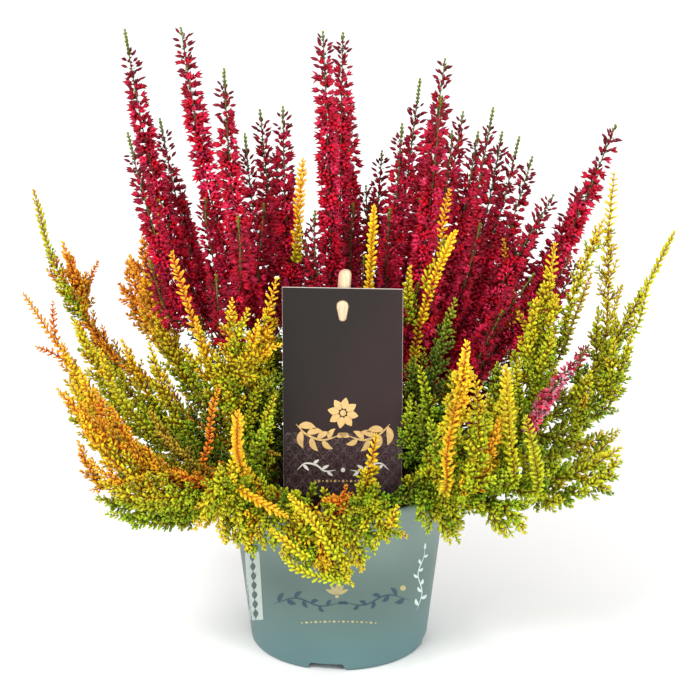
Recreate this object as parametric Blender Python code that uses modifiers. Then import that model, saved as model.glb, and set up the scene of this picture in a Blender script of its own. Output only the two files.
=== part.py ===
"""Potted heather: a tapered nursery pot full of peat, three heather plants and a card on a wooden stick.

Metres, +Z up. The origin is on the pot's axis at the surface it stands on, and the front faces -Y.
"""

import math

import bmesh
import bpy
import numpy as np
from mathutils import Matrix, Vector

# ------------------------------------------------------------------ driving dimensions (millimetres)

MM = 0.001

RIM_RADIUS = 60.0  # a 12 cm pot
RIM_LIP = 1.6  # how far the rolled rim stands proud of the wall
POT_HEIGHT = 98.0
FOOT_RADIUS = 48.6
WALL = 1.2
FLOOR_UNDERSIDE = 5.4
FLOOR_TOP = 6.6
FOOT_RING_INNER = 44.0
DRAIN_HOLE_RADIUS = 4.0
DRAIN_HOLES = 6
DRAIN_RING_RADIUS = 27.0
CENTRE_HOLE_RADIUS = 6.5
NOTCHES = 4
NOTCH_BOTTOM_WIDTH = 21.4
NOTCH_TOP_WIDTH = 18.0
NOTCH_HEIGHT = 4.4
NOTCH_TURN_DEG = -8.0  # the front notch sits a little left of centre

SOIL_TOP = 88.0
GAP = 0.3  # clearance between touching pieces

CARD_WIDTH = 63.4
CARD_HEIGHT = 118.0
CARD_THICK = 0.8
CARD_CENTRE = (2.15, -40.0, 159.6)
CARD_YAW_DEG = -3.0  # its right side stands a little nearer the front

STAKE_RADIUS = 3.4
STAKE_Y = -35.6
STAKE_TOP = 227.0
STAKE_BOTTOM = 32.0
STAKE_LEAN = 0.072  # sideways travel per millimetre of height
NIB_HEIGHT_ON_STAKE = 206.0
NIB_TOP_RADIUS = 3.1
NIB_LOW_RADIUS = 1.9
NIB_LENGTH = 11.2
NIB_PROUD = 1.3  # how far the nib stands out of the card's face

CROWN_RADIUS = 8.0
CROWN_HEIGHT = 7.0

SHOOT_SEGMENTS = 10
SHOOT_GAP = 0.5

# The shoots are laid out on a front-view sketch of 696 x 696 units, drawn in perspective: the viewpoint is 1.7 m
# away and looks down by 20.7 degrees. A way point is (across, down, depth), with the depth in millimetres behind
# the pot's axis, so a negative depth is nearer the front.
SKETCH_EYE = (5.0, -1590.2, 770.8)
SKETCH_TILT_DEG = 20.7
SKETCH_SCALE = 3147.0
SKETCH_MIDDLE = 348.0

PLANTS = {  # crown positions on the soil
    "red": (6.0, 20.0),
    "left": (-25.0, -10.0),
    "right": (27.0, -12.0),
}

# name: (plant, base (x, y) on the soil or None, widest radius, way points from the lower part to the tip)
SHOOTS = {
    "red_spike_01": ("red", None, 6.6, [(172, 300, 35), (150, 215, 45), (136, 100, 52), (125, 31, 55)]),
    "red_spike_02": ("red", None, 6.2, [(170, 320, 5), (148, 250, 8), (134, 165, 10), (128, 134, 10)]),
    "red_spike_03": ("red", None, 6.2, [(190, 310, 60), (180, 225, 72), (167, 155, 80), (160, 120, 82)]),
    "red_spike_04": ("red", None, 7.0, [(222, 300, 25), (208, 220, 30), (194, 110, 33), (181, 29, 35)]),
    "red_spike_05": ("red", None, 6.8, [(240, 320, -8), (228, 230, -12), (223, 120, -15), (224, 70, -16)]),
    "red_spike_06": ("red", None, 6.4, [(262, 310, 40), (251, 230, 50), (246, 165, 56), (245, 135, 58)]),
    "red_spike_07": ("red", None, 6.4, [(276, 300, 70), (270, 220, 84), (264, 145, 94), (260, 111, 97)]),
    "red_spike_08": ("red", None, 6.6, [(286, 300, 20), (281, 220, 22), (282, 140, 22), (283, 108, 22)]),
    "red_spike_09": ("red", None, 7.0, [(331, 300, 10), (331, 200, 12), (327, 90, 14), (323, 33, 15)]),
    "red_spike_10": ("red", None, 7.0, [(342, 300, 45), (339, 200, 55), (339, 90, 62), (343, 34, 66)]),
    "red_spike_11": ("red", None, 6.4, [(352, 300, 75), (352, 200, 92), (349, 125, 102), (347, 92, 106)]),
    "red_spike_12": ("red", None, 6.4, [(372, 300, 60), (376, 230, 75), (380, 180, 84), (382, 152, 88)]),
    "red_spike_13": ("red", None, 6.8, [(388, 300, 20), (397, 220, 25), (402, 155, 28), (402, 125, 29)]),
    "red_spike_14": ("red", None, 6.6, [(392, 300, 65), (403, 220, 80), (412, 140, 92), (420, 80, 100)]),
    "red_spike_15": ("red", None, 7.0, [(408, 300, 35), (424, 220, 42), (437, 120, 50), (445, 60, 54)]),
    "red_spike_16": ("red", None, 6.8, [(418, 320, -10), (432, 220, -14), (441, 140, -16), (441, 98, -16)]),
    "red_spike_17": ("red", None, 6.4, [(432, 300, 80), (446, 210, 98), (457, 145, 110), (463, 113, 116)]),
    "red_spike_18": ("red", None, 6.8, [(446, 310, 10), (466, 230, 12), (476, 160, 14), (478, 133, 14)]),
    "red_spike_19": ("red", None, 6.8, [(452, 310, 48), (476, 230, 58), (487, 150, 66), (493, 109, 70)]),
    "red_spike_20": ("red", None, 6.4, [(462, 320, 80), (486, 250, 95), (500, 165, 104), (502, 133, 106)]),
    "red_spike_21": ("red", None, 6.6, [(474, 320, 25), (500, 240, 32), (516, 165, 36), (519, 138, 37)]),
    "red_spike_22": ("red", None, 6.4, [(478, 330, 60), (504, 260, 72), (524, 190, 80), (532, 158, 83)]),
    "red_spike_23": ("red", None, 6.4, [(462, 360, -5), (498, 285, 5), (530, 232, 12), (553, 196, 16)]),
    "red_spike_24": ("red", None, 7.0, [(490, 370, 15), (548, 300, 25), (590, 215, 32), (615, 126, 36)]),
    "red_spike_25": ("red", None, 6.6, [(480, 370, 45), (535, 300, 60), (570, 235, 70), (586, 185, 76)]),
    "red_spike_26": ("red", None, 6.4, [(318, 320, 92), (306, 260, 112), (300, 225, 122)]),
    "gold_shoot_01": ("left", None, 8.0, [(190, 425, 10), (130, 378, 25), (82, 322, 38), (50, 250, 45), (34, 191, 48)]),
    "gold_shoot_02": ("left", None, 8.0, [(190, 480, -45), (130, 455, -25), (90, 400, 5), (62, 355, 25), (36, 325, 45), (24, 294, 60)]),
    "gold_shoot_03": ("left", (-34.0, -36.0), 7.5, [(190, 497, -78), (130, 480, -84), (95, 450, -84), (70, 415, -82), (58, 390, -80)]),
    "green_shoot_04": ("left", (-43.0, -24.0), 6.5, [(225, 486, -44), (180, 503, -60), (135, 510, -68), (98, 500, -72)]),
    "gold_shoot_05": ("left", None, 7.5, [(195, 445, -5), (140, 418, 0), (103, 385, 5), (84, 342, 8)]),
    "gold_shoot_06": ("left", None, 8.0, [(212, 430, 30), (180, 375, 48), (150, 315, 60), (130, 256, 68)]),
    "gold_shoot_07": ("left", None, 7.5, [(225, 430, -20), (212, 375, -28), (186, 310, -34), (172, 254, -36)]),
    "gold_shoot_08": ("left", None, 7.0, [(228, 440, -35), (228, 380, -45), (231, 335, -50), (232, 300, -52)]),
    "gold_shoot_09": ("left", None, 7.5, [(250, 430, -22), (250, 380, -30), (263, 325, -36), (276, 284, -40)]),
    "gold_shoot_10": ("left", (-26.0, -43.5), 7.5, [(240, 485, -55), (230, 478, -85), (236, 445, -104), (238, 412, -116)]),
    "gold_shoot_11": ("left", (-6.0, -49.5), 6.0, [(322, 498, -56), (335, 520, -68), (350, 552, -73), (361, 570, -72)]),
    "gold_shoot_12": ("left", (-17.0, -47.0), 6.0, [(288, 492, -56), (280, 522, -68), (298, 560, -74), (332, 578, -75)]),
    "gold_shoot_13": ("right", (10.0, -49.0), 5.5, [(367, 500, -56), (370, 465, -61), (376, 436, -64)]),
    "gold_shoot_14": ("right", (41.0, -13.0), 7.5, [(430, 470, -24), (437, 430, -36), (430, 395, -44), (420, 368, -48)]),
    "gold_shoot_15": ("right", (32.0, -37.0), 8.0, [(452, 482, -60), (454, 445, -92), (462, 390, -114), (467, 343, -125)]),
    "gold_shoot_16": ("right", None, 6.5, [(408, 350, -12), (414, 305, -22), (435, 262, -30), (455, 232, -36)]),
    "gold_shoot_17": ("right", None, 5.5, [(366, 300, -5), (371, 255, -8), (374, 207, -10)]),
    "gold_shoot_18": ("right", None, 8.0, [(505, 450, -20), (535, 375, -30), (549, 310, -38), (555, 245, -42)]),
    "gold_shoot_19": ("right", None, 7.5, [(540, 455, 5), (590, 392, 10), (606, 320, 14), (608, 240, 18), (614, 175, 20)]),
    "gold_shoot_20": ("right", None, 7.0, [(545, 470, -15), (590, 400, -22), (632, 325, -26), (655, 270, -24), (674, 233, -22)]),
    "gold_shoot_21": ("right", (46.0, -21.0), 7.5, [(504, 478, -42), (513, 440, -58), (512, 400, -70), (505, 367, -76)]),
    "green_shoot_22": ("right", None, 6.5, [(525, 470, 5), (560, 462, 12), (590, 448, 16), (618, 431, 18)]),
    "green_shoot_23": ("right", (51.0, -10.0), 6.5, [(515, 488, -24), (565, 497, -36), (598, 485, -44), (620, 448, -48)]),
    "green_shoot_24": ("right", (40.5, -30.0), 7.0, [(478, 490, -60), (505, 500, -80), (520, 515, -88), (512, 535, -90)]),
    "green_shoot_25": ("right", (22.5, -45.0), 6.0, [(420, 496, -54), (444, 508, -60), (457, 524, -58), (459, 542, -54)]),
    "gold_shoot_26": ("red", None, 7.5, [(285, 420, 80), (250, 380, 112), (235, 340, 124)]),
    "gold_shoot_27": ("red", None, 7.5, [(400, 420, 82), (432, 375, 112), (448, 335, 125)]),
}

RED_SWELL = [(0.0, 0.28), (0.12, 0.4), (0.35, 0.8), (0.5, 1.0), (0.8, 0.95), (0.92, 0.75), (1.0, 0.3)]
LEAF_SWELL = [(0.0, 0.28), (0.12, 0.45), (0.3, 0.9), (0.45, 1.0), (0.75, 0.85), (0.9, 0.65), (1.0, 0.32)]


# ------------------------------------------------------------------ shoot layout (all in millimetres)


def from_sketch(across, down, depth):
    """The point at a depth whose place on the front-view sketch is (across, down)."""
    tilt = math.radians(SKETCH_TILT_DEG)
    right = (across - SKETCH_MIDDLE) / SKETCH_SCALE
    up = (SKETCH_MIDDLE - down) / SKETCH_SCALE
    # the sight line, in the pot's axes
    dx = right
    dy = math.cos(tilt) + up * math.sin(tilt)
    dz = -math.sin(tilt) + up * math.cos(tilt)
    k = (depth - SKETCH_EYE[1]) / dy
    return np.array([SKETCH_EYE[0] + dx * k, depth, SKETCH_EYE[2] + dz * k])


def through(points, count):
    """count points, evenly spaced, along a smooth curve through the given ones."""
    pts = np.array(points, float)
    pts = np.vstack([2 * pts[0] - pts[1], pts, 2 * pts[-1] - pts[-2]])
    fine = []
    for a, b, c, d in zip(pts[:-3], pts[1:-2], pts[2:-1], pts[3:]):
        t0 = 0.0
        t1 = t0 + math.sqrt(np.linalg.norm(b - a))
        t2 = t1 + math.sqrt(np.linalg.norm(c - b))
        t3 = t2 + math.sqrt(np.linalg.norm(d - c))
        for t in np.linspace(t1, t2, 24, endpoint=False):
            a1 = (t1 - t) / (t1 - t0) * a + (t - t0) / (t1 - t0) * b
            a2 = (t2 - t) / (t2 - t1) * b + (t - t1) / (t2 - t1) * c
            a3 = (t3 - t) / (t3 - t2) * c + (t - t2) / (t3 - t2) * d
            b1 = (t2 - t) / (t2 - t0) * a1 + (t - t0) / (t2 - t0) * a2
            b2 = (t3 - t) / (t3 - t1) * a2 + (t - t1) / (t3 - t1) * a3
            fine.append((t2 - t) / (t2 - t1) * b1 + (t - t1) / (t2 - t1) * b2)
    fine.append(pts[-2])
    return evenly(np.array(fine), count)


def evenly(line, count):
    steps = np.linalg.norm(np.diff(line, axis=0), axis=1)
    run = np.concatenate([[0.0], np.cumsum(steps)])
    want = np.linspace(0.0, run[-1], count)
    return np.stack([np.interp(want, run, line[:, k]) for k in range(3)], axis=1)


def swell(kind, t):
    table = RED_SWELL if kind == "red" else LEAF_SWELL
    return np.interp(t, [a for a, _ in table], [b for _, b in table])


def wall_radius(z):
    """The pot's outer radius at a height."""
    return FOOT_RADIUS + (RIM_RADIUS - FOOT_RADIUS) * np.clip(z, 0, POT_HEIGHT) / POT_HEIGHT


def spread_bases(names, lines):
    """Bases on the soil: each starts towards where its shoot goes, then they make room for one another."""
    bases = []
    for name in names:
        plant, base, _, _ = SHOOTS[name]
        if base is None:
            cx, cy = PLANTS[plant]
            way = lines[name][0][:2] - np.array([cx, cy])
            reach = np.linalg.norm(way)
            way = way / max(reach, 1e-6)
            bases.append(np.array([cx, cy]) + way * min(CROWN_RADIUS + 4.0 + 0.09 * reach, 24.0))
        else:
            bases.append(np.array(base))
    bases = np.array(bases)
    fixed = np.array([SHOOTS[n][1] is not None for n in names])
    stake_x = CARD_CENTRE[0] + STAKE_LEAN * (SOIL_TOP - NIB_HEIGHT_ON_STAKE)
    posts = [(np.array(c), CROWN_RADIUS + 3.2) for c in PLANTS.values()]
    posts.append((np.array([stake_x, STAKE_Y]), STAKE_RADIUS + 3.4))
    for _ in range(400):
        gap = bases[:, None, :] - bases[None, :, :]
        far = np.linalg.norm(gap, axis=2) + 1e-9
        np.fill_diagonal(far, 1e9)
        push = np.clip(9.0 - far, 0, None) / far * 0.3
        move = (gap * push[:, :, None]).sum(1)
        move[fixed] = 0
        bases = bases + move
        for centre, keep in posts:
            away = bases - centre
            d = np.linalg.norm(away, axis=1) + 1e-9
            short = np.clip(keep - d, 0, None)
            bases = bases + away / d[:, None] * short[:, None]
        r = np.linalg.norm(bases, axis=1)
        bases = bases * np.minimum(1.0, 52.0 / np.maximum(r, 1e-9))[:, None]
    return {n: b for n, b in zip(names, bases)}


def segment_gaps(p, q):
    """Least distance between each segment p[i] = (start, end) and each q[i], as arrays of shape (n, 3) each."""
    a0, a1 = p
    b0, b1 = q
    u, v, w = a1 - a0, b1 - b0, a0 - b0
    a, b, c = (u * u).sum(1), (u * v).sum(1), (v * v).sum(1)
    d, e = (u * w).sum(1), (v * w).sum(1)
    den = a * c - b * b
    s = np.where(den > 1e-9, np.clip((b * e - c * d) / np.where(den > 1e-9, den, 1), 0, 1), 0)
    t = np.clip((b * s + e) / c, 0, 1)
    s = np.clip((b * t - d) / a, 0, 1)
    t = np.clip((b * s + e) / c, 0, 1)
    return np.linalg.norm(w + u * s[:, None] - v * t[:, None], axis=1)


def over_the_rim(rise, first, wide):
    """A way point that lifts a low shoot over the pot's rim, or nothing for one that clears it anyway."""
    a, b = math.hypot(rise[0], rise[1]), math.hypot(first[0], first[1])
    if b < RIM_RADIUS:
        return []
    crossing = rise + (first - rise) * (RIM_RADIUS - a) / (b - a)
    need = POT_HEIGHT + 0.8 * wide + 4.0
    if crossing[2] > need:
        return []
    spot = crossing * (RIM_RADIUS - 3.0) / math.hypot(crossing[0], crossing[1])
    return [np.array([spot[0], spot[1], need])]


def lay_out_shoots():
    """name: (points, radii) of every shoot's outer form, with room left between neighbours."""
    names = list(SHOOTS)
    marks = {n: [from_sketch(*w) for w in SHOOTS[n][3]] for n in names}
    bases = spread_bases(names, marks)
    count = 2 * SHOOT_SEGMENTS + 1
    lines, wanted, owner = [], [], []
    t = np.linspace(0, 1, count)
    for k, n in enumerate(names):
        plant, _, wide, _ = SHOOTS[n]
        x, y = bases[n]
        foot = np.array([x, y, SOIL_TOP + GAP])
        rise = foot + np.array([0, 0, 6.0])
        lines.append(through([foot, rise] + over_the_rim(rise, marks[n][0], wide) + marks[n], count))
        wanted.append(wide * swell("red" if n.startswith("red") else "leaf", t))
        owner += [k] * count
    line = np.array(lines)
    want = np.array(wanted)
    owner = np.array(owner)
    start = line.copy()
    free = np.clip(t * 6, 0, 1) * np.clip((1 - t) * 5, 0.05, 1)  # feet and tips hardly move
    free[:2] = 0
    other = owner[:, None] != owner[None, :]
    cx, cy, cz = CARD_CENTRE
    for step in range(120):
        p = line.reshape(-1, 3)
        r = want.reshape(-1)
        away = p[:, None, :] - p[None, :, :]
        d = np.sqrt((away**2).sum(2)) + 1e-6
        short = np.clip(0.92 * (r[:, None] + r[None, :]) + 1.0 - d, 0, None) * other
        move = (away / d[:, :, None] * short[:, :, None]).sum(1) * 0.22
        size = np.linalg.norm(move, axis=1, keepdims=True) + 1e-9
        move = move * np.minimum(1.0, 2.0 / size)
        line = line + move.reshape(line.shape) * free[None, :, None]
        # the card and its stick
        x, y, z = line[..., 0], line[..., 1], line[..., 2]
        near = (np.abs(x - cx) < CARD_WIDTH / 2 + want + 1) & (z > cz - CARD_HEIGHT / 2 - want - 1)
        near &= z < cz + CARD_HEIGHT / 2 + want + 1
        side = np.where(start[..., 1] < cy, -1.0, 1.0)
        room = np.where(side > 0, 3.2 + 2 * STAKE_RADIUS, 3.2) * np.where(
            (side > 0) & (np.abs(x - cx) > 9), 0.5, 1
        ) + want * 0.8
        back = side * (y - cy)
        y = np.where(near & (back < room), cy + side * (back + 0.5 * (room - back)), y)
        # the pot's rim and wall
        rr = np.sqrt(x**2 + y**2) + 1e-9
        lip = RIM_RADIUS + RIM_LIP
        over = (rr > RIM_RADIUS - 5 - want) & (rr < lip + want + 0.8) & (z < POT_HEIGHT + want + 0.8)
        over &= t[None, :] > 0.08
        up = POT_HEIGHT + want + 0.8 - z
        out = lip + want + 0.8 - rr
        rise = over & ((up <= out) | (rr < RIM_RADIUS))
        z = np.where(rise, z + 0.4 * up, z)
        grow = np.where(over & ~rise, 1 + 0.4 * out / rr, 1)
        x, y = x * grow, y * grow
        line = np.stack([x, y, z], axis=2)
        # each shoot stays smooth
        mid = 0.5 * (line[:, :-2] + line[:, 2:])
        line[:, 2:-1] += 0.25 * (mid[:, 1:] - line[:, 2:-1])
    line = line[:, ::2]
    line[:, 1, :2] = line[:, 0, :2]
    line[:, 1, 2] = np.maximum(line[:, 1, 2], line[:, 0, 2] + 2.5)
    radii = want[:, ::2].copy()

    # the radii give way where two forms still meet
    n, m = line.shape[0], SHOOT_SEGMENTS
    ends = np.stack([line[:, :-1].reshape(-1, 3), line[:, 1:].reshape(-1, 3)])
    i, j = np.triu_indices(n * m, 1)
    keep = (i // m) != (j // m)
    i, j = i[keep], j[keep]
    gaps = segment_gaps((ends[0][i], ends[1][i]), (ends[0][j], ends[1][j])) - SHOOT_GAP
    tight = gaps < 2 * want.max()
    i, j, gaps = i[tight], j[tight], gaps[tight]
    for _ in range(60):
        of = np.maximum(radii[:, :-1], radii[:, 1:]).reshape(-1)
        over = (of[i] + of[j]) / np.maximum(gaps, 0.05)
        worst = np.ones(n * m)
        np.maximum.at(worst, i, over)
        np.maximum.at(worst, j, over)
        worst = worst.reshape(n, m)
        share = np.ones_like(radii)
        share[:, :-1] = np.maximum(share[:, :-1], worst)
        share[:, 1:] = np.maximum(share[:, 1:], worst)
        if share.max() <= 1.0001:
            break
        radii = radii / (1 + 0.6 * (share - 1))
    # and where they meet the card, the stick, the crowns, the soil or the pot
    for k in range(n):
        for s in range(m + 1):
            limit = radii[k, s]
            for share in np.linspace(-0.5, 0.5, 9):
                q = line[k, s] + (line[k, min(max(s + (1 if share > 0 else -1), 0), m)] - line[k, s]) * abs(share)
                limit = min(limit, clearance(q, s == 0 or (s == 1 and share < 0)))
            radii[k, s] = max(limit, 0.7)
    return {name: (line[k], radii[k]) for k, name in enumerate(names)}


def clearance(q, at_foot):
    """How thick a shoot may be at a point before it meets what is not a shoot."""
    x, y, z = q
    yaw = math.radians(CARD_YAW_DEG)
    cx, cy, cz = CARD_CENTRE
    across = (x - cx) * math.cos(yaw) + (y - cy) * math.sin(yaw)
    deep = -(x - cx) * math.sin(yaw) + (y - cy) * math.cos(yaw)
    far = np.array(
        [
            max(abs(across) - CARD_WIDTH / 2, 0),
            max(abs(deep) - CARD_THICK / 2, 0),
            max(abs(z - cz) - CARD_HEIGHT / 2, 0),
        ]
    )
    room = [float(np.linalg.norm(far))]
    stake_x = cx + STAKE_LEAN * (z - NIB_HEIGHT_ON_STAKE)
    if z < STAKE_TOP + 8:
        room.append(math.hypot(x - stake_x, y - STAKE_Y) - STAKE_RADIUS)
    for px, py in PLANTS.values():
        level = max(z - SOIL_TOP - CROWN_HEIGHT, 0)
        room.append(math.hypot(max(math.hypot(x - px, y - py) - CROWN_RADIUS, 0), level))
    r = math.hypot(x, y)
    if z > POT_HEIGHT:
        out = max(r - RIM_RADIUS - RIM_LIP, 0, RIM_RADIUS - 2.2 - r)
        room.append(math.hypot(out, z - POT_HEIGHT - 0.6))
    elif r > RIM_RADIUS:
        room.append(r - RIM_RADIUS - RIM_LIP)
    else:
        room.append(RIM_RADIUS - 2.6 - (POT_HEIGHT - z) * 0.12 - r)
    if not at_foot and r < RIM_RADIUS:
        room.append(z - SOIL_TOP)
    return min(room) - SHOOT_GAP


# ------------------------------------------------------------------ scene and helpers


for old in list(bpy.data.objects):
    bpy.data.objects.remove(old, do_unlink=True)

parts = bpy.data.collections.new("potted_heather")
cutters = bpy.data.collections.new("cutters")
bpy.context.scene.collection.children.link(parts)
bpy.context.scene.collection.children.link(cutters)


def material(name, colour, rough, metallic=0.0):
    m = bpy.data.materials.new(name)
    m.use_nodes = True
    shader = m.node_tree.nodes["Principled BSDF"]
    shader.inputs["Base Color"].default_value = (*colour, 1.0)
    shader.inputs["Roughness"].default_value = rough
    shader.inputs["Metallic"].default_value = metallic
    return m


POT_PLASTIC = material("pot_plastic", (0.20, 0.32, 0.32), 0.45)
PEAT = material("peat", (0.035, 0.02, 0.012), 0.95)
CARD = material("card", (0.065, 0.05, 0.052), 0.4)
STICK = material("stick_wood", (0.82, 0.66, 0.42), 0.6)
BARK = material("bark", (0.12, 0.06, 0.035), 0.85)
CRIMSON = material("crimson_flowers", (0.55, 0.015, 0.05), 0.55)
GOLD = material("golden_leaves", (0.70, 0.50, 0.05), 0.55)
GREEN = material("green_leaves", (0.20, 0.32, 0.04), 0.6)


def add(name, mesh, mat, where=parts):
    ob = bpy.data.objects.new(name, mesh)
    where.objects.link(ob)
    if mat is not None:
        mesh.materials.append(mat)
    return ob


def make_cutter(ob):
    ob.hide_render = True
    ob.display_type = "WIRE"
    return ob


def turned(name, profile, steps, mat, where=parts):
    """A solid of revolution from an open or closed profile of (radius, height) in millimetres."""
    mesh = bpy.data.meshes.new(name)
    bm = bmesh.new()
    verts = [bm.verts.new((r * MM, 0, z * MM)) for r, z in profile]
    closed = all(r > 0 for r, _ in profile)
    for a, b in zip(verts, verts[1:] + (verts[:1] if closed else [])):
        if a is not b:
            bm.edges.new((a, b))
    bm.to_mesh(mesh)
    bm.free()
    ob = add(name, mesh, mat, where)
    screw = ob.modifiers.new("turn", "SCREW")
    screw.axis = "Z"
    screw.angle = math.tau
    screw.steps = steps
    screw.render_steps = steps
    screw.use_merge_vertices = True
    screw.merge_threshold = 0.00001
    return ob


def cut(ob, cutter, how="DIFFERENCE"):
    mod = ob.modifiers.new("cut_" + cutter.name, "BOOLEAN")
    mod.operation = how
    mod.solver = "EXACT"
    mod.object = cutter


def freeze(ob):
    """The object's evaluated mesh, with its caps welded, as a plain mesh object."""
    graph = bpy.context.evaluated_depsgraph_get()
    mesh = bpy.data.meshes.new_from_object(ob.evaluated_get(graph))
    bm = bmesh.new()
    bm.from_mesh(mesh)
    bmesh.ops.remove_doubles(bm, verts=bm.verts, dist=0.00001)
    bmesh.ops.recalc_face_normals(bm, faces=bm.faces)
    bm.to_mesh(mesh)
    bm.free()
    made = bpy.data.objects.new(ob.name + "_solid", mesh)
    for holder in ob.users_collection:
        holder.objects.link(made)
    made.matrix_world = ob.matrix_world.copy()
    name = ob.name
    bpy.data.objects.remove(ob, do_unlink=True)
    made.name = name
    return made


def tube(name, points, radii, mat, where=parts):
    """A poly curve with round section; points and radii in millimetres."""
    curve = bpy.data.curves.new(name, "CURVE")
    curve.dimensions = "3D"
    curve.resolution_u = 1
    curve.render_resolution_u = 0
    curve.bevel_depth = MM
    curve.bevel_resolution = 2
    curve.use_fill_caps = True
    line = curve.splines.new("POLY")
    line.points.add(len(points) - 1)
    for spot, p, r in zip(line.points, points, radii):
        spot.co = (p[0] * MM, p[1] * MM, p[2] * MM, 1.0)
        spot.radius = float(r)
    curve.materials.append(mat)
    ob = bpy.data.objects.new(name, curve)
    where.objects.link(ob)
    return ob


def drop_outline(top_radius, low_radius, length, steps=8):
    """A drop: a wide round top, a narrow round foot and straight sides between, centred on its length."""
    high = length / 2 - top_radius
    low = -length / 2 + low_radius
    slope = math.asin((top_radius - low_radius) / (high - low))
    ring = []
    for k in range(steps + 1):
        a = -slope + (math.pi + 2 * slope) * k / steps
        ring.append((top_radius * math.cos(a), high + top_radius * math.sin(a)))
    for k in range(steps + 1):
        a = math.pi + slope + (math.pi - 2 * slope) * k / steps
        ring.append((low_radius * math.cos(a), low + low_radius * math.sin(a)))
    return ring


def plate(name, outline, half_thickness, mat, where):
    """A flat 2D outline of (x, y) millimetres, extruded half_thickness each way along its own Z."""
    curve = bpy.data.curves.new(name, "CURVE")
    curve.dimensions = "2D"
    curve.fill_mode = "BOTH"
    curve.extrude = half_thickness * MM
    curve.resolution_u = 1
    curve.render_resolution_u = 0
    ring = curve.splines.new("POLY")
    ring.points.add(len(outline) - 1)
    for spot, (x, y) in zip(ring.points, outline):
        spot.co = (x * MM, y * MM, 0, 1)
    ring.use_cyclic_u = True
    if mat is not None:
        curve.materials.append(mat)
    ob = bpy.data.objects.new(name, curve)
    where.objects.link(ob)
    return ob


# ------------------------------------------------------------------ pot


def build_pot():
    slope = (RIM_RADIUS - FOOT_RADIUS) / POT_HEIGHT

    def outer(z):
        return FOOT_RADIUS + slope * z

    def inner(z):
        return outer(z) - WALL

    profile = [
        (CENTRE_HOLE_RADIUS, FLOOR_TOP),
        (inner(FLOOR_TOP) - 1.2, FLOOR_TOP),
        (inner(FLOOR_TOP + 1.2), FLOOR_TOP + 1.2),
        (inner(92.5), 92.5),
        (inner(94.5) + 0.5, 94.5),
        (inner(POT_HEIGHT) + 0.9, POT_HEIGHT - 0.5),
        (inner(POT_HEIGHT) + 1.5, POT_HEIGHT),
        (outer(POT_HEIGHT) + RIM_LIP - 0.6, POT_HEIGHT),
        (outer(POT_HEIGHT) + RIM_LIP, POT_HEIGHT - 0.7),
        (outer(POT_HEIGHT) + RIM_LIP, 95.0),
        (outer(94.4) + RIM_LIP - 0.7, 94.4),
        (outer(94.0), 94.0),
        (outer(45.0), 45.0),
        (outer(2.2), 2.2),
        (outer(0.0) - 0.35, 0.7),
        (outer(0.0) - 1.2, 0.0),
        (FOOT_RING_INNER + 0.8, 0.0),
        (FOOT_RING_INNER, 0.6),
        (FOOT_RING_INNER - 0.5, FLOOR_UNDERSIDE - 0.6),
        (FOOT_RING_INNER - 1.2, FLOOR_UNDERSIDE),
        (CENTRE_HOLE_RADIUS, FLOOR_UNDERSIDE),
    ]
    pot = turned("pot", profile, 56, POT_PLASTIC)
    for k in range(DRAIN_HOLES):
        a = math.tau * (k + 0.5) / DRAIN_HOLES
        mesh = bpy.data.meshes.new(f"drain_{k}")
        bm = bmesh.new()
        bmesh.ops.create_cone(
            bm, cap_ends=True, segments=12, radius1=DRAIN_HOLE_RADIUS * MM, radius2=DRAIN_HOLE_RADIUS * MM, depth=8 * MM
        )
        bm.to_mesh(mesh)
        bm.free()
        hole = make_cutter(add(f"drain_{k}", mesh, None, cutters))
        hole.location = (DRAIN_RING_RADIUS * math.cos(a) * MM, DRAIN_RING_RADIUS * math.sin(a) * MM, 6 * MM)
        cut(pot, hole)
    for k in range(NOTCHES):
        a = math.radians(NOTCH_TURN_DEG) + math.tau * k / NOTCHES
        mesh = bpy.data.meshes.new(f"notch_{k}")
        bm = bmesh.new()
        bmesh.ops.create_cube(bm, size=1.0)
        for v in bm.verts:
            wide = NOTCH_TOP_WIDTH if v.co.z > 0 else NOTCH_BOTTOM_WIDTH * 1.04
            v.co = Vector(
                (
                    v.co.x * wide * MM,
                    (-46.0 + v.co.y * 14.0) * MM,
                    (NOTCH_HEIGHT if v.co.z > 0 else -1.0) * MM,
                )
            )
        bm.to_mesh(mesh)
        bm.free()
        notch = make_cutter(add(f"notch_{k}", mesh, None, cutters))
        notch.rotation_euler = (0, 0, a)
        cut(pot, notch)
    return pot


def build_root_ball():
    slope = (RIM_RADIUS - FOOT_RADIUS) / POT_HEIGHT

    def edge(z):
        return FOOT_RADIUS + slope * z - WALL - GAP - 0.1

    profile = [
        (0.0, SOIL_TOP),
        (edge(SOIL_TOP) - 2.0, SOIL_TOP),
        (edge(SOIL_TOP - 1.6), SOIL_TOP - 1.6),
        (edge(45.0), 45.0),
        (edge(9.0) - 0.4, 9.0),
        (edge(FLOOR_TOP) - 3.0, FLOOR_TOP + GAP),
        (0.0, FLOOR_TOP + GAP),
    ]
    ball = turned("peat_root_ball", profile, 40, PEAT)
    top = stake_axis(SOIL_TOP + 8)
    bottom = stake_axis(STAKE_BOTTOM - 1.0)
    socket = freeze(tube("stake_socket", [bottom, top], [STAKE_RADIUS + GAP + 0.1] * 2, PEAT, cutters))
    cut(ball, make_cutter(socket))
    return ball


# ------------------------------------------------------------------ card and stick


def stake_axis(z):
    return (CARD_CENTRE[0] + STAKE_LEAN * (z - NIB_HEIGHT_ON_STAKE), STAKE_Y, z)


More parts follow.
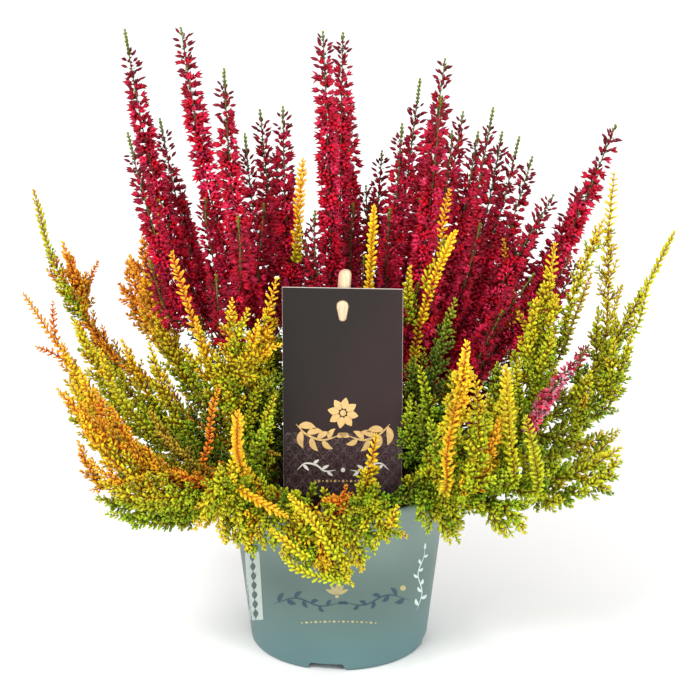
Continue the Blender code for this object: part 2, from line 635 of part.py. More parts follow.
def build_stake():
    heights = [STAKE_BOTTOM, STAKE_BOTTOM + 9.0, STAKE_TOP - 1.2, STAKE_TOP]
    radii = [0.9, STAKE_RADIUS, STAKE_RADIUS, STAKE_RADIUS - 1.1]
    stake = freeze(tube("label_stake", [stake_axis(z) for z in heights], radii, STICK))
    nib = plate(
        "stake_nib",
        drop_outline(NIB_TOP_RADIUS, NIB_LOW_RADIUS, NIB_LENGTH),
        (CARD_THICK + NIB_PROUD + 4.0) / 2,
        STICK,
        cutters,
    )
    nib.rotation_euler = (math.radians(90), 0, 0)
    front = CARD_CENTRE[1] - CARD_THICK / 2 - NIB_PROUD
    nib.location = (
        CARD_CENTRE[0] * MM,
        (front + (CARD_THICK + NIB_PROUD + 4.0) / 2) * MM,
        NIB_HEIGHT_ON_STAKE * MM,
    )
    bpy.context.view_layer.update()
    nib = make_cutter(freeze(nib))
    cut(stake, nib, "UNION")
    return stake


def build_card():
    mesh = bpy.data.meshes.new("label_card")
    bm = bmesh.new()
    bmesh.ops.create_cube(bm, size=1.0)
    for v in bm.verts:
        v.co = Vector((v.co.x * CARD_WIDTH * MM, v.co.y * CARD_THICK * MM, v.co.z * CARD_HEIGHT * MM))
    bm.to_mesh(mesh)
    bm.free()
    card = add("label_card", mesh, CARD)
    card.location = Vector(CARD_CENTRE) * MM
    card.rotation_euler = (0, 0, math.radians(CARD_YAW_DEG))
    soft = card.modifiers.new("edges", "BEVEL")
    soft.width = 0.15 * MM
    soft.segments = 1
    hole = plate(
        "card_hole",
        drop_outline(NIB_TOP_RADIUS + GAP + 0.1, NIB_LOW_RADIUS + GAP + 0.1, NIB_LENGTH + 2 * GAP + 0.2),
        3.0,
        None,
        cutters,
    )
    hole.rotation_euler = (math.radians(90), 0, 0)
    hole.location = (CARD_CENTRE[0] * MM, CARD_CENTRE[1] * MM, NIB_HEIGHT_ON_STAKE * MM)
    bpy.context.view_layer.update()
    cut(card, make_cutter(freeze(hole)))
    return card


# ------------------------------------------------------------------ plants


def build_crown(name, where):
    profile = [
        (0.0, CROWN_HEIGHT),
        (CROWN_RADIUS * 0.45, CROWN_HEIGHT * 0.92),
        (CROWN_RADIUS * 0.82, CROWN_HEIGHT * 0.6),
        (CROWN_RADIUS, 0.8),
        (CROWN_RADIUS * 0.95, 0.0),
        (0.0, 0.0),
    ]
    crown = turned(name, profile, 12, BARK)
    crown.location = (where[0] * MM, where[1] * MM, (SOIL_TOP + GAP) * MM)
    return crown


build_pot()
build_root_ball()
build_stake()
build_card()
for plant, spot in PLANTS.items():
    build_crown("woody_crown_" + plant, spot)
for shoot, (points, radii) in lay_out_shoots().items():
    leaf = {"red": CRIMSON, "gold": GOLD, "green": GREEN}[shoot.split("_")[0]]
    tube(shoot, points, radii, leaf)

for ob in parts.objects:
    if ob.type == "MESH":
        ob.data.shade_smooth()
        ob.data.set_sharp_from_angle(angle=math.radians(35))
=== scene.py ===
"""Looks of the potted heather: the plants, the pot, the card and its stick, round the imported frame."""

import math

import bmesh
import bpy
import numpy as np
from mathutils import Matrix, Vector, geometry


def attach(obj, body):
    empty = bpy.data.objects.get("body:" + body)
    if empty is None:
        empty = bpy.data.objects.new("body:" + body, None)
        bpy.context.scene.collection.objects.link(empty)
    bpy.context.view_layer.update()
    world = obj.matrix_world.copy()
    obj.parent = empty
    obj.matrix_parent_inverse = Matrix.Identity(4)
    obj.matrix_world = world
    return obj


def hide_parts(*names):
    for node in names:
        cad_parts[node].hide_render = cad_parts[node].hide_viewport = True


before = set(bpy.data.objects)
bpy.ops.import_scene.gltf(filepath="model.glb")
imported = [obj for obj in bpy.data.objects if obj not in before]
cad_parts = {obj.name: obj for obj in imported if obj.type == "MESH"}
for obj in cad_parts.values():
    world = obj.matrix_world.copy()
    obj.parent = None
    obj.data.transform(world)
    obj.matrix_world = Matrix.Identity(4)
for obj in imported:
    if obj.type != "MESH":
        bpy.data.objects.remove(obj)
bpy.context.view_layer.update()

# ------------------------------------------------------------------ driving dimensions (millimetres)

MM = 0.001

RIM_RADIUS = 60.0  # a 12 cm pot
RIM_LIP = 1.6  # how far the rolled rim stands proud of the wall
POT_HEIGHT = 98.0
FOOT_RADIUS = 48.6
WALL = 1.2
FLOOR_UNDERSIDE = 5.4
FLOOR_TOP = 6.6
FOOT_RING_INNER = 44.0
DRAIN_HOLE_RADIUS = 4.0
DRAIN_HOLES = 6
DRAIN_RING_RADIUS = 27.0
CENTRE_HOLE_RADIUS = 6.5
NOTCHES = 4
NOTCH_BOTTOM_WIDTH = 21.4
NOTCH_TOP_WIDTH = 18.0
NOTCH_HEIGHT = 4.4
NOTCH_TURN_DEG = -8.0  # the front notch sits a little left of centre

SOIL_TOP = 88.0
GAP = 0.3  # clearance between touching pieces

CARD_WIDTH = 63.4
CARD_HEIGHT = 118.0
CARD_THICK = 0.8
CARD_CENTRE = (2.15, -40.0, 159.6)
CARD_YAW_DEG = -3.0  # its right side stands a little nearer the front

STAKE_RADIUS = 3.4
STAKE_Y = -35.6
STAKE_TOP = 227.0
STAKE_BOTTOM = 32.0
STAKE_LEAN = 0.072  # sideways travel per millimetre of height
NIB_HEIGHT_ON_STAKE = 206.0
NIB_TOP_RADIUS = 3.1
NIB_LOW_RADIUS = 1.9
NIB_LENGTH = 11.2
NIB_PROUD = 1.3  # how far the nib stands out of the card's face

CROWN_RADIUS = 8.0
CROWN_HEIGHT = 7.0

SHOOT_SEGMENTS = 10
SHOOT_GAP = 0.5

# The shoots are laid out on a front-view sketch of 696 x 696 units, drawn in perspective: the viewpoint is 1.7 m
# away and looks down by 20.7 degrees. A way point is (across, down, depth), with the depth in millimetres behind
# the pot's axis, so a negative depth is nearer the front.
SKETCH_EYE = (5.0, -1590.2, 770.8)
SKETCH_TILT_DEG = 20.7
SKETCH_SCALE = 3147.0
SKETCH_MIDDLE = 348.0

PLANTS = {  # crown positions on the soil
    "red": (6.0, 20.0),
    "left": (-25.0, -10.0),
    "right": (27.0, -12.0),
}

# name: (plant, base (x, y) on the soil or None, widest radius, way points from the lower part to the tip)
SHOOTS = {
    "red_spike_01": ("red", None, 6.6, [(172, 300, 35), (150, 215, 45), (136, 100, 52), (125, 31, 55)]),
    "red_spike_02": ("red", None, 6.2, [(170, 320, 5), (148, 250, 8), (134, 165, 10), (128, 134, 10)]),
    "red_spike_03": ("red", None, 6.2, [(190, 310, 60), (180, 225, 72), (167, 155, 80), (160, 120, 82)]),
    "red_spike_04": ("red", None, 7.0, [(222, 300, 25), (208, 220, 30), (194, 110, 33), (181, 29, 35)]),
    "red_spike_05": ("red", None, 6.8, [(240, 320, -8), (228, 230, -12), (223, 120, -15), (224, 70, -16)]),
    "red_spike_06": ("red", None, 6.4, [(262, 310, 40), (251, 230, 50), (246, 165, 56), (245, 135, 58)]),
    "red_spike_07": ("red", None, 6.4, [(276, 300, 70), (270, 220, 84), (264, 145, 94), (260, 111, 97)]),
    "red_spike_08": ("red", None, 6.6, [(286, 300, 20), (281, 220, 22), (282, 140, 22), (283, 108, 22)]),
    "red_spike_09": ("red", None, 7.0, [(331, 300, 10), (331, 200, 12), (327, 90, 14), (323, 33, 15)]),
    "red_spike_10": ("red", None, 7.0, [(342, 300, 45), (339, 200, 55), (339, 90, 62), (343, 34, 66)]),
    "red_spike_11": ("red", None, 6.4, [(352, 300, 75), (352, 200, 92), (349, 125, 102), (347, 92, 106)]),
    "red_spike_12": ("red", None, 6.4, [(372, 300, 60), (376, 230, 75), (380, 180, 84), (382, 152, 88)]),
    "red_spike_13": ("red", None, 6.8, [(388, 300, 20), (397, 220, 25), (402, 155, 28), (402, 125, 29)]),
    "red_spike_14": ("red", None, 6.6, [(392, 300, 65), (403, 220, 80), (412, 140, 92), (420, 80, 100)]),
    "red_spike_15": ("red", None, 7.0, [(408, 300, 35), (424, 220, 42), (437, 120, 50), (445, 60, 54)]),
    "red_spike_16": ("red", None, 6.8, [(418, 320, -10), (432, 220, -14), (441, 140, -16), (441, 98, -16)]),
    "red_spike_17": ("red", None, 6.4, [(432, 300, 80), (446, 210, 98), (457, 145, 110), (463, 113, 116)]),
    "red_spike_18": ("red", None, 6.8, [(446, 310, 10), (466, 230, 12), (476, 160, 14), (478, 133, 14)]),
    "red_spike_19": ("red", None, 6.8, [(452, 310, 48), (476, 230, 58), (487, 150, 66), (493, 109, 70)]),
    "red_spike_20": ("red", None, 6.4, [(462, 320, 80), (486, 250, 95), (500, 165, 104), (502, 133, 106)]),
    "red_spike_21": ("red", None, 6.6, [(474, 320, 25), (500, 240, 32), (516, 165, 36), (519, 138, 37)]),
    "red_spike_22": ("red", None, 6.4, [(478, 330, 60), (504, 260, 72), (524, 190, 80), (532, 158, 83)]),
    "red_spike_23": ("red", None, 6.4, [(462, 360, -5), (498, 285, 5), (530, 232, 12), (553, 196, 16)]),
    "red_spike_24": ("red", None, 7.0, [(490, 370, 15), (548, 300, 25), (590, 215, 32), (615, 126, 36)]),
    "red_spike_25": ("red", None, 6.6, [(480, 370, 45), (535, 300, 60), (570, 235, 70), (586, 185, 76)]),
    "red_spike_26": ("red", None, 6.4, [(318, 320, 92), (306, 260, 112), (300, 225, 122)]),
    "gold_shoot_01": ("left", None, 8.0, [(190, 425, 10), (130, 378, 25), (82, 322, 38), (50, 250, 45), (34, 191, 48)]),
    "gold_shoot_02": ("left", None, 8.0, [(190, 480, -45), (130, 455, -25), (90, 400, 5), (62, 355, 25), (36, 325, 45), (24, 294, 60)]),
    "gold_shoot_03": ("left", (-34.0, -36.0), 7.5, [(190, 497, -78), (130, 480, -84), (95, 450, -84), (70, 415, -82), (58, 390, -80)]),
    "green_shoot_04": ("left", (-43.0, -24.0), 6.5, [(225, 486, -44), (180, 503, -60), (135, 510, -68), (98, 500, -72)]),
    "gold_shoot_05": ("left", None, 7.5, [(195, 445, -5), (140, 418, 0), (103, 385, 5), (84, 342, 8)]),
    "gold_shoot_06": ("left", None, 8.0, [(212, 430, 30), (180, 375, 48), (150, 315, 60), (130, 256, 68)]),
    "gold_shoot_07": ("left", None, 7.5, [(225, 430, -20), (212, 375, -28), (186, 310, -34), (172, 254, -36)]),
    "gold_shoot_08": ("left", None, 7.0, [(228, 440, -35), (228, 380, -45), (231, 335, -50), (232, 300, -52)]),
    "gold_shoot_09": ("left", None, 7.5, [(250, 430, -22), (250, 380, -30), (263, 325, -36), (276, 284, -40)]),
    "gold_shoot_10": ("left", (-26.0, -43.5), 7.5, [(240, 485, -55), (230, 478, -85), (236, 445, -104), (238, 412, -116)]),
    "gold_shoot_11": ("left", (-6.0, -49.5), 6.0, [(322, 498, -56), (335, 520, -68), (350, 552, -73), (361, 570, -72)]),
    "gold_shoot_12": ("left", (-17.0, -47.0), 6.0, [(288, 492, -56), (280, 522, -68), (298, 560, -74), (332, 578, -75)]),
    "gold_shoot_13": ("right", (10.0, -49.0), 5.5, [(367, 500, -56), (370, 465, -61), (376, 436, -64)]),
    "gold_shoot_14": ("right", (41.0, -13.0), 7.5, [(430, 470, -24), (437, 430, -36), (430, 395, -44), (420, 368, -48)]),
    "gold_shoot_15": ("right", (32.0, -37.0), 8.0, [(452, 482, -60), (454, 445, -92), (462, 390, -114), (467, 343, -125)]),
    "gold_shoot_16": ("right", None, 6.5, [(408, 350, -12), (414, 305, -22), (435, 262, -30), (455, 232, -36)]),
    "gold_shoot_17": ("right", None, 5.5, [(366, 300, -5), (371, 255, -8), (374, 207, -10)]),
    "gold_shoot_18": ("right", None, 8.0, [(505, 450, -20), (535, 375, -30), (549, 310, -38), (555, 245, -42)]),
    "gold_shoot_19": ("right", None, 7.5, [(540, 455, 5), (590, 392, 10), (606, 320, 14), (608, 240, 18), (614, 175, 20)]),
    "gold_shoot_20": ("right", None, 7.0, [(545, 470, -15), (590, 400, -22), (632, 325, -26), (655, 270, -24), (674, 233, -22)]),
    "gold_shoot_21": ("right", (46.0, -21.0), 7.5, [(504, 478, -42), (513, 440, -58), (512, 400, -70), (505, 367, -76)]),
    "green_shoot_22": ("right", None, 6.5, [(525, 470, 5), (560, 462, 12), (590, 448, 16), (618, 431, 18)]),
    "green_shoot_23": ("right", (51.0, -10.0), 6.5, [(515, 488, -24), (565, 497, -36), (598, 485, -44), (620, 448, -48)]),
    "green_shoot_24": ("right", (40.5, -30.0), 7.0, [(478, 490, -60), (505, 500, -80), (520, 515, -88), (512, 535, -90)]),
    "green_shoot_25": ("right", (22.5, -45.0), 6.0, [(420, 496, -54), (444, 508, -60), (457, 524, -58), (459, 542, -54)]),
    "gold_shoot_26": ("red", None, 7.5, [(285, 420, 80), (250, 380, 112), (235, 340, 124)]),
    "gold_shoot_27": ("red", None, 7.5, [(400, 420, 82), (432, 375, 112), (448, 335, 125)]),
}

RED_SWELL = [(0.0, 0.28), (0.12, 0.4), (0.35, 0.8), (0.5, 1.0), (0.8, 0.95), (0.92, 0.75), (1.0, 0.3)]
LEAF_SWELL = [(0.0, 0.28), (0.12, 0.45), (0.3, 0.9), (0.45, 1.0), (0.75, 0.85), (0.9, 0.65), (1.0, 0.32)]


# ------------------------------------------------------------------ shoot layout (all in millimetres)


def from_sketch(across, down, depth):
    """The point at a depth whose place on the front-view sketch is (across, down)."""
    tilt = math.radians(SKETCH_TILT_DEG)
    right = (across - SKETCH_MIDDLE) / SKETCH_SCALE
    up = (SKETCH_MIDDLE - down) / SKETCH_SCALE
    # the sight line, in the pot's axes
    dx = right
    dy = math.cos(tilt) + up * math.sin(tilt)
    dz = -math.sin(tilt) + up * math.cos(tilt)
    k = (depth - SKETCH_EYE[1]) / dy
    return np.array([SKETCH_EYE[0] + dx * k, depth, SKETCH_EYE[2] + dz * k])


def to_sketch(points):
    """Where points (in millimetres) fall on the front-view sketch, as (across, down)."""
    tilt = math.radians(SKETCH_TILT_DEG)
    d = np.asarray(points, float) - np.array(SKETCH_EYE)
    ahead = d[..., 1] * math.cos(tilt) - d[..., 2] * math.sin(tilt)
    up = d[..., 1] * math.sin(tilt) + d[..., 2] * math.cos(tilt)
    across = SKETCH_MIDDLE + SKETCH_SCALE * d[..., 0] / ahead
    return np.stack([across, SKETCH_MIDDLE - SKETCH_SCALE * up / ahead], axis=-1)


def through(points, count):
    """count points, evenly spaced, along a smooth curve through the given ones."""
    pts = np.array(points, float)
    pts = np.vstack([2 * pts[0] - pts[1], pts, 2 * pts[-1] - pts[-2]])
    fine = []
    for a, b, c, d in zip(pts[:-3], pts[1:-2], pts[2:-1], pts[3:]):
        t0 = 0.0
        t1 = t0 + math.sqrt(np.linalg.norm(b - a))
        t2 = t1 + math.sqrt(np.linalg.norm(c - b))
        t3 = t2 + math.sqrt(np.linalg.norm(d - c))
        t = np.linspace(t1, t2, 24, endpoint=False)[:, None]
        a1 = (t1 - t) / (t1 - t0) * a + (t - t0) / (t1 - t0) * b
        a2 = (t2 - t) / (t2 - t1) * b + (t - t1) / (t2 - t1) * c
        a3 = (t3 - t) / (t3 - t2) * c + (t - t2) / (t3 - t2) * d
        b1 = (t2 - t) / (t2 - t0) * a1 + (t - t0) / (t2 - t0) * a2
        b2 = (t3 - t) / (t3 - t1) * a2 + (t - t1) / (t3 - t1) * a3
        fine.append((t2 - t) / (t2 - t1) * b1 + (t - t1) / (t2 - t1) * b2)
    fine.append(pts[-2][None])
    return evenly(np.concatenate(fine), count)


def evenly(line, count):
    steps = np.linalg.norm(np.diff(line, axis=0), axis=1)
    run = np.concatenate([[0.0], np.cumsum(steps)])
    want = np.linspace(0.0, run[-1], count)
    return np.stack([np.interp(want, run, line[:, k]) for k in range(3)], axis=1)


def swell(kind, t):
    table = RED_SWELL if kind == "red" else LEAF_SWELL
    return np.interp(t, [a for a, _ in table], [b for _, b in table])


def wall_radius(z):
    """The pot's outer radius at a height."""
    return FOOT_RADIUS + (RIM_RADIUS - FOOT_RADIUS) * np.clip(z, 0, POT_HEIGHT) / POT_HEIGHT


def spread_bases(names, lines):
    """Bases on the soil: each starts towards where its shoot goes, then they make room for one another."""
    bases = []
    for name in names:
        plant, base, _, _ = SHOOTS[name]
        if base is None:
            cx, cy = PLANTS[plant]
            way = lines[name][0][:2] - np.array([cx, cy])
            reach = np.linalg.norm(way)
            way = way / max(reach, 1e-6)
            bases.append(np.array([cx, cy]) + way * min(CROWN_RADIUS + 4.0 + 0.09 * reach, 24.0))
        else:
            bases.append(np.array(base))
    bases = np.array(bases)
    fixed = np.array([SHOOTS[n][1] is not None for n in names])
    stake_x = CARD_CENTRE[0] + STAKE_LEAN * (SOIL_TOP - NIB_HEIGHT_ON_STAKE)
    posts = [(np.array(c), CROWN_RADIUS + 3.2) for c in PLANTS.values()]
    posts.append((np.array([stake_x, STAKE_Y]), STAKE_RADIUS + 3.4))
    for _ in range(400):
        gap = bases[:, None, :] - bases[None, :, :]
        far = np.linalg.norm(gap, axis=2) + 1e-9
        np.fill_diagonal(far, 1e9)
        push = np.clip(9.0 - far, 0, None) / far * 0.3
        move = (gap * push[:, :, None]).sum(1)
        move[fixed] = 0
        bases = bases + move
        for centre, keep in posts:
            away = bases - centre
            d = np.linalg.norm(away, axis=1) + 1e-9
            short = np.clip(keep - d, 0, None)
            bases = bases + away / d[:, None] * short[:, None]
        r = np.linalg.norm(bases, axis=1)
        bases = bases * np.minimum(1.0, 52.0 / np.maximum(r, 1e-9))[:, None]
    return {n: b for n, b in zip(names, bases)}


def segment_gaps(p, q):
    """Least distance between each segment p[i] = (start, end) and each q[i], as arrays of shape (n, 3) each."""
    a0, a1 = p
    b0, b1 = q
    u, v, w = a1 - a0, b1 - b0, a0 - b0
    a, b, c = (u * u).sum(1), (u * v).sum(1), (v * v).sum(1)
    d, e = (u * w).sum(1), (v * w).sum(1)
    den = a * c - b * b
    s = np.where(den > 1e-9, np.clip((b * e - c * d) / np.where(den > 1e-9, den, 1), 0, 1), 0)
    t = np.clip((b * s + e) / c, 0, 1)
    s = np.clip((b * t - d) / a, 0, 1)
    t = np.clip((b * s + e) / c, 0, 1)
    return np.linalg.norm(w + u * s[:, None] - v * t[:, None], axis=1)


def over_the_rim(rise, first, wide):
    """A way point that lifts a low shoot over the pot's rim, or nothing for one that clears it anyway."""
    a, b = math.hypot(rise[0], rise[1]), math.hypot(first[0], first[1])
    if b < RIM_RADIUS:
        return []
    crossing = rise + (first - rise) * (RIM_RADIUS - a) / (b - a)
    need = POT_HEIGHT + 0.8 * wide + 4.0
    if crossing[2] > need:
        return []
    spot = crossing * (RIM_RADIUS - 3.0) / math.hypot(crossing[0], crossing[1])
    return [np.array([spot[0], spot[1], need])]


def lay_out_shoots():
    """name: (points, radii) of every shoot's outer form, with room left between neighbours."""
    names = list(SHOOTS)
    marks = {n: [from_sketch(*w) for w in SHOOTS[n][3]] for n in names}
    bases = spread_bases(names, marks)
    count = 2 * SHOOT_SEGMENTS + 1
    lines, wanted, owner = [], [], []
    t = np.linspace(0, 1, count)
    for k, n in enumerate(names):
        plant, _, wide, _ = SHOOTS[n]
        x, y = bases[n]
        foot = np.array([x, y, SOIL_TOP + GAP])
        rise = foot + np.array([0, 0, 6.0])
        lines.append(through([foot, rise] + over_the_rim(rise, marks[n][0], wide) + marks[n], count))
        wanted.append(wide * swell("red" if n.startswith("red") else "leaf", t))
        owner += [k] * count
    line = np.array(lines)
    want = np.array(wanted)
    owner = np.array(owner)
    start = line.copy()
    free = np.clip(t * 6, 0, 1) * np.clip((1 - t) * 5, 0.05, 1)  # feet and tips hardly move
    free[:2] = 0
    other = owner[:, None] != owner[None, :]
    cx, cy, cz = CARD_CENTRE
    for step in range(120):
        p = line.reshape(-1, 3)
        r = want.reshape(-1)
        away = p[:, None, :] - p[None, :, :]
        d = np.sqrt((away**2).sum(2)) + 1e-6
        short = np.clip(0.92 * (r[:, None] + r[None, :]) + 1.0 - d, 0, None) * other
        move = (away / d[:, :, None] * short[:, :, None]).sum(1) * 0.22
        size = np.linalg.norm(move, axis=1, keepdims=True) + 1e-9
        move = move * np.minimum(1.0, 2.0 / size)
        line = line + move.reshape(line.shape) * free[None, :, None]
        # the card and its stick
        x, y, z = line[..., 0], line[..., 1], line[..., 2]
        near = (np.abs(x - cx) < CARD_WIDTH / 2 + want + 1) & (z > cz - CARD_HEIGHT / 2 - want - 1)
        near &= z < cz + CARD_HEIGHT / 2 + want + 1
        side = np.where(start[..., 1] < cy, -1.0, 1.0)
        room = np.where(side > 0, 3.2 + 2 * STAKE_RADIUS, 3.2) * np.where(
            (side > 0) & (np.abs(x - cx) > 9), 0.5, 1
        ) + want * 0.8
        back = side * (y - cy)
        y = np.where(near & (back < room), cy + side * (back + 0.5 * (room - back)), y)
        # the pot's rim and wall
        rr = np.sqrt(x**2 + y**2) + 1e-9
        lip = RIM_RADIUS + RIM_LIP
        over = (rr > RIM_RADIUS - 5 - want) & (rr < lip + want + 0.8) & (z < POT_HEIGHT + want + 0.8)
        over &= t[None, :] > 0.08
        up = POT_HEIGHT + want + 0.8 - z
        out = lip + want + 0.8 - rr
        rise = over & ((up <= out) | (rr < RIM_RADIUS))
        z = np.where(rise, z + 0.4 * up, z)
        grow = np.where(over & ~rise, 1 + 0.4 * out / rr, 1)
        x, y = x * grow, y * grow
        line = np.stack([x, y, z], axis=2)
        # each shoot stays smooth
        mid = 0.5 * (line[:, :-2] + line[:, 2:])
        line[:, 2:-1] += 0.25 * (mid[:, 1:] - line[:, 2:-1])
    line = line[:, ::2]
    line[:, 1, :2] = line[:, 0, :2]
    line[:, 1, 2] = np.maximum(line[:, 1, 2], line[:, 0, 2] + 2.5)
    radii = want[:, ::2].copy()

    # the radii give way where two forms still meet
    n, m = line.shape[0], SHOOT_SEGMENTS
    ends = np.stack([line[:, :-1].reshape(-1, 3), line[:, 1:].reshape(-1, 3)])
    i, j = np.triu_indices(n * m, 1)
    keep = (i // m) != (j // m)
    i, j = i[keep], j[keep]
    gaps = segment_gaps((ends[0][i], ends[1][i]), (ends[0][j], ends[1][j])) - SHOOT_GAP
    tight = gaps < 2 * want.max()
    i, j, gaps = i[tight], j[tight], gaps[tight]
    for _ in range(60):
        of = np.maximum(radii[:, :-1], radii[:, 1:]).reshape(-1)
        over = (of[i] + of[j]) / np.maximum(gaps, 0.05)
        worst = np.ones(n * m)
        np.maximum.at(worst, i, over)
        np.maximum.at(worst, j, over)
        worst = worst.reshape(n, m)
        share = np.ones_like(radii)
        share[:, :-1] = np.maximum(share[:, :-1], worst)
        share[:, 1:] = np.maximum(share[:, 1:], worst)
        if share.max() <= 1.0001:
            break
        radii = radii / (1 + 0.6 * (share - 1))
    # and where they meet the card, the stick, the crowns, the soil or the pot
    for k in range(n):
        for s in range(m + 1):
            limit = radii[k, s]
            for share in np.linspace(-0.5, 0.5, 9):
                q = line[k, s] + (line[k, min(max(s + (1 if share > 0 else -1), 0), m)] - line[k, s]) * abs(share)
                limit = min(limit, clearance(q, s == 0 or (s == 1 and share < 0)))
            radii[k, s] = max(limit, 0.7)
    return {name: (line[k], radii[k]) for k, name in enumerate(names)}


def clearance(q, at_foot):
    """How thick a shoot may be at a point before it meets what is not a shoot."""
    x, y, z = q
    yaw = math.radians(CARD_YAW_DEG)
    cx, cy, cz = CARD_CENTRE
    across = (x - cx) * math.cos(yaw) + (y - cy) * math.sin(yaw)
    deep = -(x - cx) * math.sin(yaw) + (y - cy) * math.cos(yaw)
    far = np.array(
        [
            max(abs(across) - CARD_WIDTH / 2, 0),
            max(abs(deep) - CARD_THICK / 2, 0),
            max(abs(z - cz) - CARD_HEIGHT / 2, 0),
        ]
    )
    room = [float(np.linalg.norm(far))]
    stake_x = cx + STAKE_LEAN * (z - NIB_HEIGHT_ON_STAKE)
    if z < STAKE_TOP + 8:
        room.append(math.hypot(x - stake_x, y - STAKE_Y) - STAKE_RADIUS)
    for px, py in PLANTS.values():
        level = max(z - SOIL_TOP - CROWN_HEIGHT, 0)
        room.append(math.hypot(max(math.hypot(x - px, y - py) - CROWN_RADIUS, 0), level))
    r = math.hypot(x, y)
    if z > POT_HEIGHT:
        out = max(r - RIM_RADIUS - RIM_LIP, 0, RIM_RADIUS - 2.2 - r)
        room.append(math.hypot(out, z - POT_HEIGHT - 0.6))
    elif r > RIM_RADIUS:
        room.append(r - RIM_RADIUS - RIM_LIP)
    else:
        room.append(RIM_RADIUS - 2.6 - (POT_HEIGHT - z) * 0.12 - r)
    if not at_foot and r < RIM_RADIUS:
        room.append(z - SOIL_TOP)
    return min(room) - SHOOT_GAP


# ------------------------------------------------------------------ colours and materials


def srgb(r, g, b):
    """A colour given as screen values from 0 to 255, as linear values."""
    c = np.array([r, g, b], float) / 255.0
    return np.where(c <= 0.04045, c / 12.92, ((c + 0.055) / 1.055) ** 2.4)


def new_material(name):
    mat = bpy.data.materials.new(name)
    mat.use_nodes = True
    tree = mat.node_tree
    return mat, tree, tree.nodes["Principled BSDF"]


def node(tree, kind, **values):
    made = tree.nodes.new(kind)
    for key, value in values.items():
        setattr(made, key, value)
    return made


def wire(tree, source, target):
    tree.links.new(source, target)


def ramp(tree, stops, smooth=False):
    made = tree.nodes.new("ShaderNodeValToRGB")
    made.color_ramp.interpolation = "EASE" if smooth else "LINEAR"
    while len(made.color_ramp.elements) < len(stops):
        made.color_ramp.elements.new(0.5)
    for element, (at, colour) in zip(made.color_ramp.elements, stops):
        element.position = at
        element.color = (*colour, 1.0)
    return made


def noise(tree, scale, detail=2.0, rough=0.5, coords="Object", stretch=None):
    """A noise texture on the piece's own coordinates; returns its node."""
    spot = tree.nodes.new("ShaderNodeTexCoord")
    made = node(tree, "ShaderNodeTexNoise")
    made.inputs["Scale"].default_value = scale
    made.inputs["Detail"].default_value = detail
    made.inputs["Roughness"].default_value = rough
    if stretch is None:
        wire(tree, spot.outputs[coords], made.inputs["Vector"])
    else:
        squeeze = tree.nodes.new("ShaderNodeMapping")
        squeeze.inputs["Scale"].default_value = stretch
        wire(tree, spot.outputs[coords], squeeze.inputs["Vector"])
        wire(tree, squeeze.outputs["Vector"], made.inputs["Vector"])
    return made


def bump(tree, shader, height, strength, distance):
    made = tree.nodes.new("ShaderNodeBump")
    made.inputs["Strength"].default_value = strength
    made.inputs["Distance"].default_value = distance
    wire(tree, height, made.inputs["Height"])
    wire(tree, made.outputs["Normal"], shader.inputs["Normal"])
    return made


def tinted(name, rough, grain, grain_depth, vary, shine):
    """A plant surface: its painted tint, mottled by noise, with a fine grain in its relief and gloss."""
    mat, tree, shader = new_material(name)
    tint = node(tree, "ShaderNodeVertexColor", layer_name="tint")
    spots = noise(tree, grain, 3.0, 0.6)
    level = node(tree, "ShaderNodeMapRange")
    level.inputs["From Min"].default_value = 0.3
    level.inputs["From Max"].default_value = 0.7
    level.inputs["To Min"].default_value = 1.0 - vary
    level.inputs["To Max"].default_value = 1.0 + vary
    wire(tree, spots.outputs["Fac"], level.inputs["Value"])
    mixed = node(tree, "ShaderNodeVectorMath", operation="SCALE")
    wire(tree, tint.outputs["Color"], mixed.inputs[0])
    wire(tree, level.outputs["Result"], mixed.inputs["Scale"])
    wire(tree, mixed.outputs["Vector"], shader.inputs["Base Color"])
    gloss = node(tree, "ShaderNodeMapRange")
    gloss.inputs["To Min"].default_value = rough - 0.12
    gloss.inputs["To Max"].default_value = rough + 0.12
    wire(tree, spots.outputs["Fac"], gloss.inputs["Value"])
    wire(tree, gloss.outputs["Result"], shader.inputs["Roughness"])
    bump(tree, shader, spots.outputs["Fac"], 0.5, grain_depth)
    shader.inputs["Specular IOR Level"].default_value = shine
    return mat


LEAF = tinted("leaf", 0.55, 1100.0, 0.0003, 0.16, 0.2)
PETAL = tinted("petal", 0.5, 900.0, 0.0002, 0.14, 0.2)
STEM = tinted("stem", 0.7, 700.0, 0.0003, 0.25, 0.2)


# ------------------------------------------------------------------ pieces made of many small closed forms

LEAF_SLOT, PETAL_SLOT, STEM_SLOT = 0, 1, 2


def pod(sides, rings, flat=1.0, twist=0.0, arch=0.0, tones=None):
    """A closed form from (0,0,0) to (0,0,1) with rings of (height, radius): (points, faces, tone of each point)."""
    points = [(0.0, 0.0, 0.0)]
    for k, (high, wide) in enumerate(rings):
        for s in range(sides):
            a = math.tau * (s + 0.5 + twist * k) / sides
            points.append((wide * math.cos(a), wide * flat * math.sin(a) + arch * high * high, high))
    points.append((0.0, arch, 1.0))
    faces = []
    last = len(points) - 1
    for s in range(sides):
        n = (s + 1) % sides
        faces.append((0, 1 + n, 1 + s))
        for k in range(len(rings) - 1):
            a, b = 1 + k * sides, 1 + (k + 1) * sides
            faces.append((a + s, a + n, b + s))
            faces.append((a + n, b + n, b + s))
        top = 1 + (len(rings) - 1) * sides
        faces.append((top + s, top + n, last))
    points = np.array(points)
    if tones is None:
        tone = points[:, 2].copy()
    else:
        tone = np.interp(points[:, 2], [a for a, _ in tones], [b for _, b in tones])
    return points, np.array(faces), tone


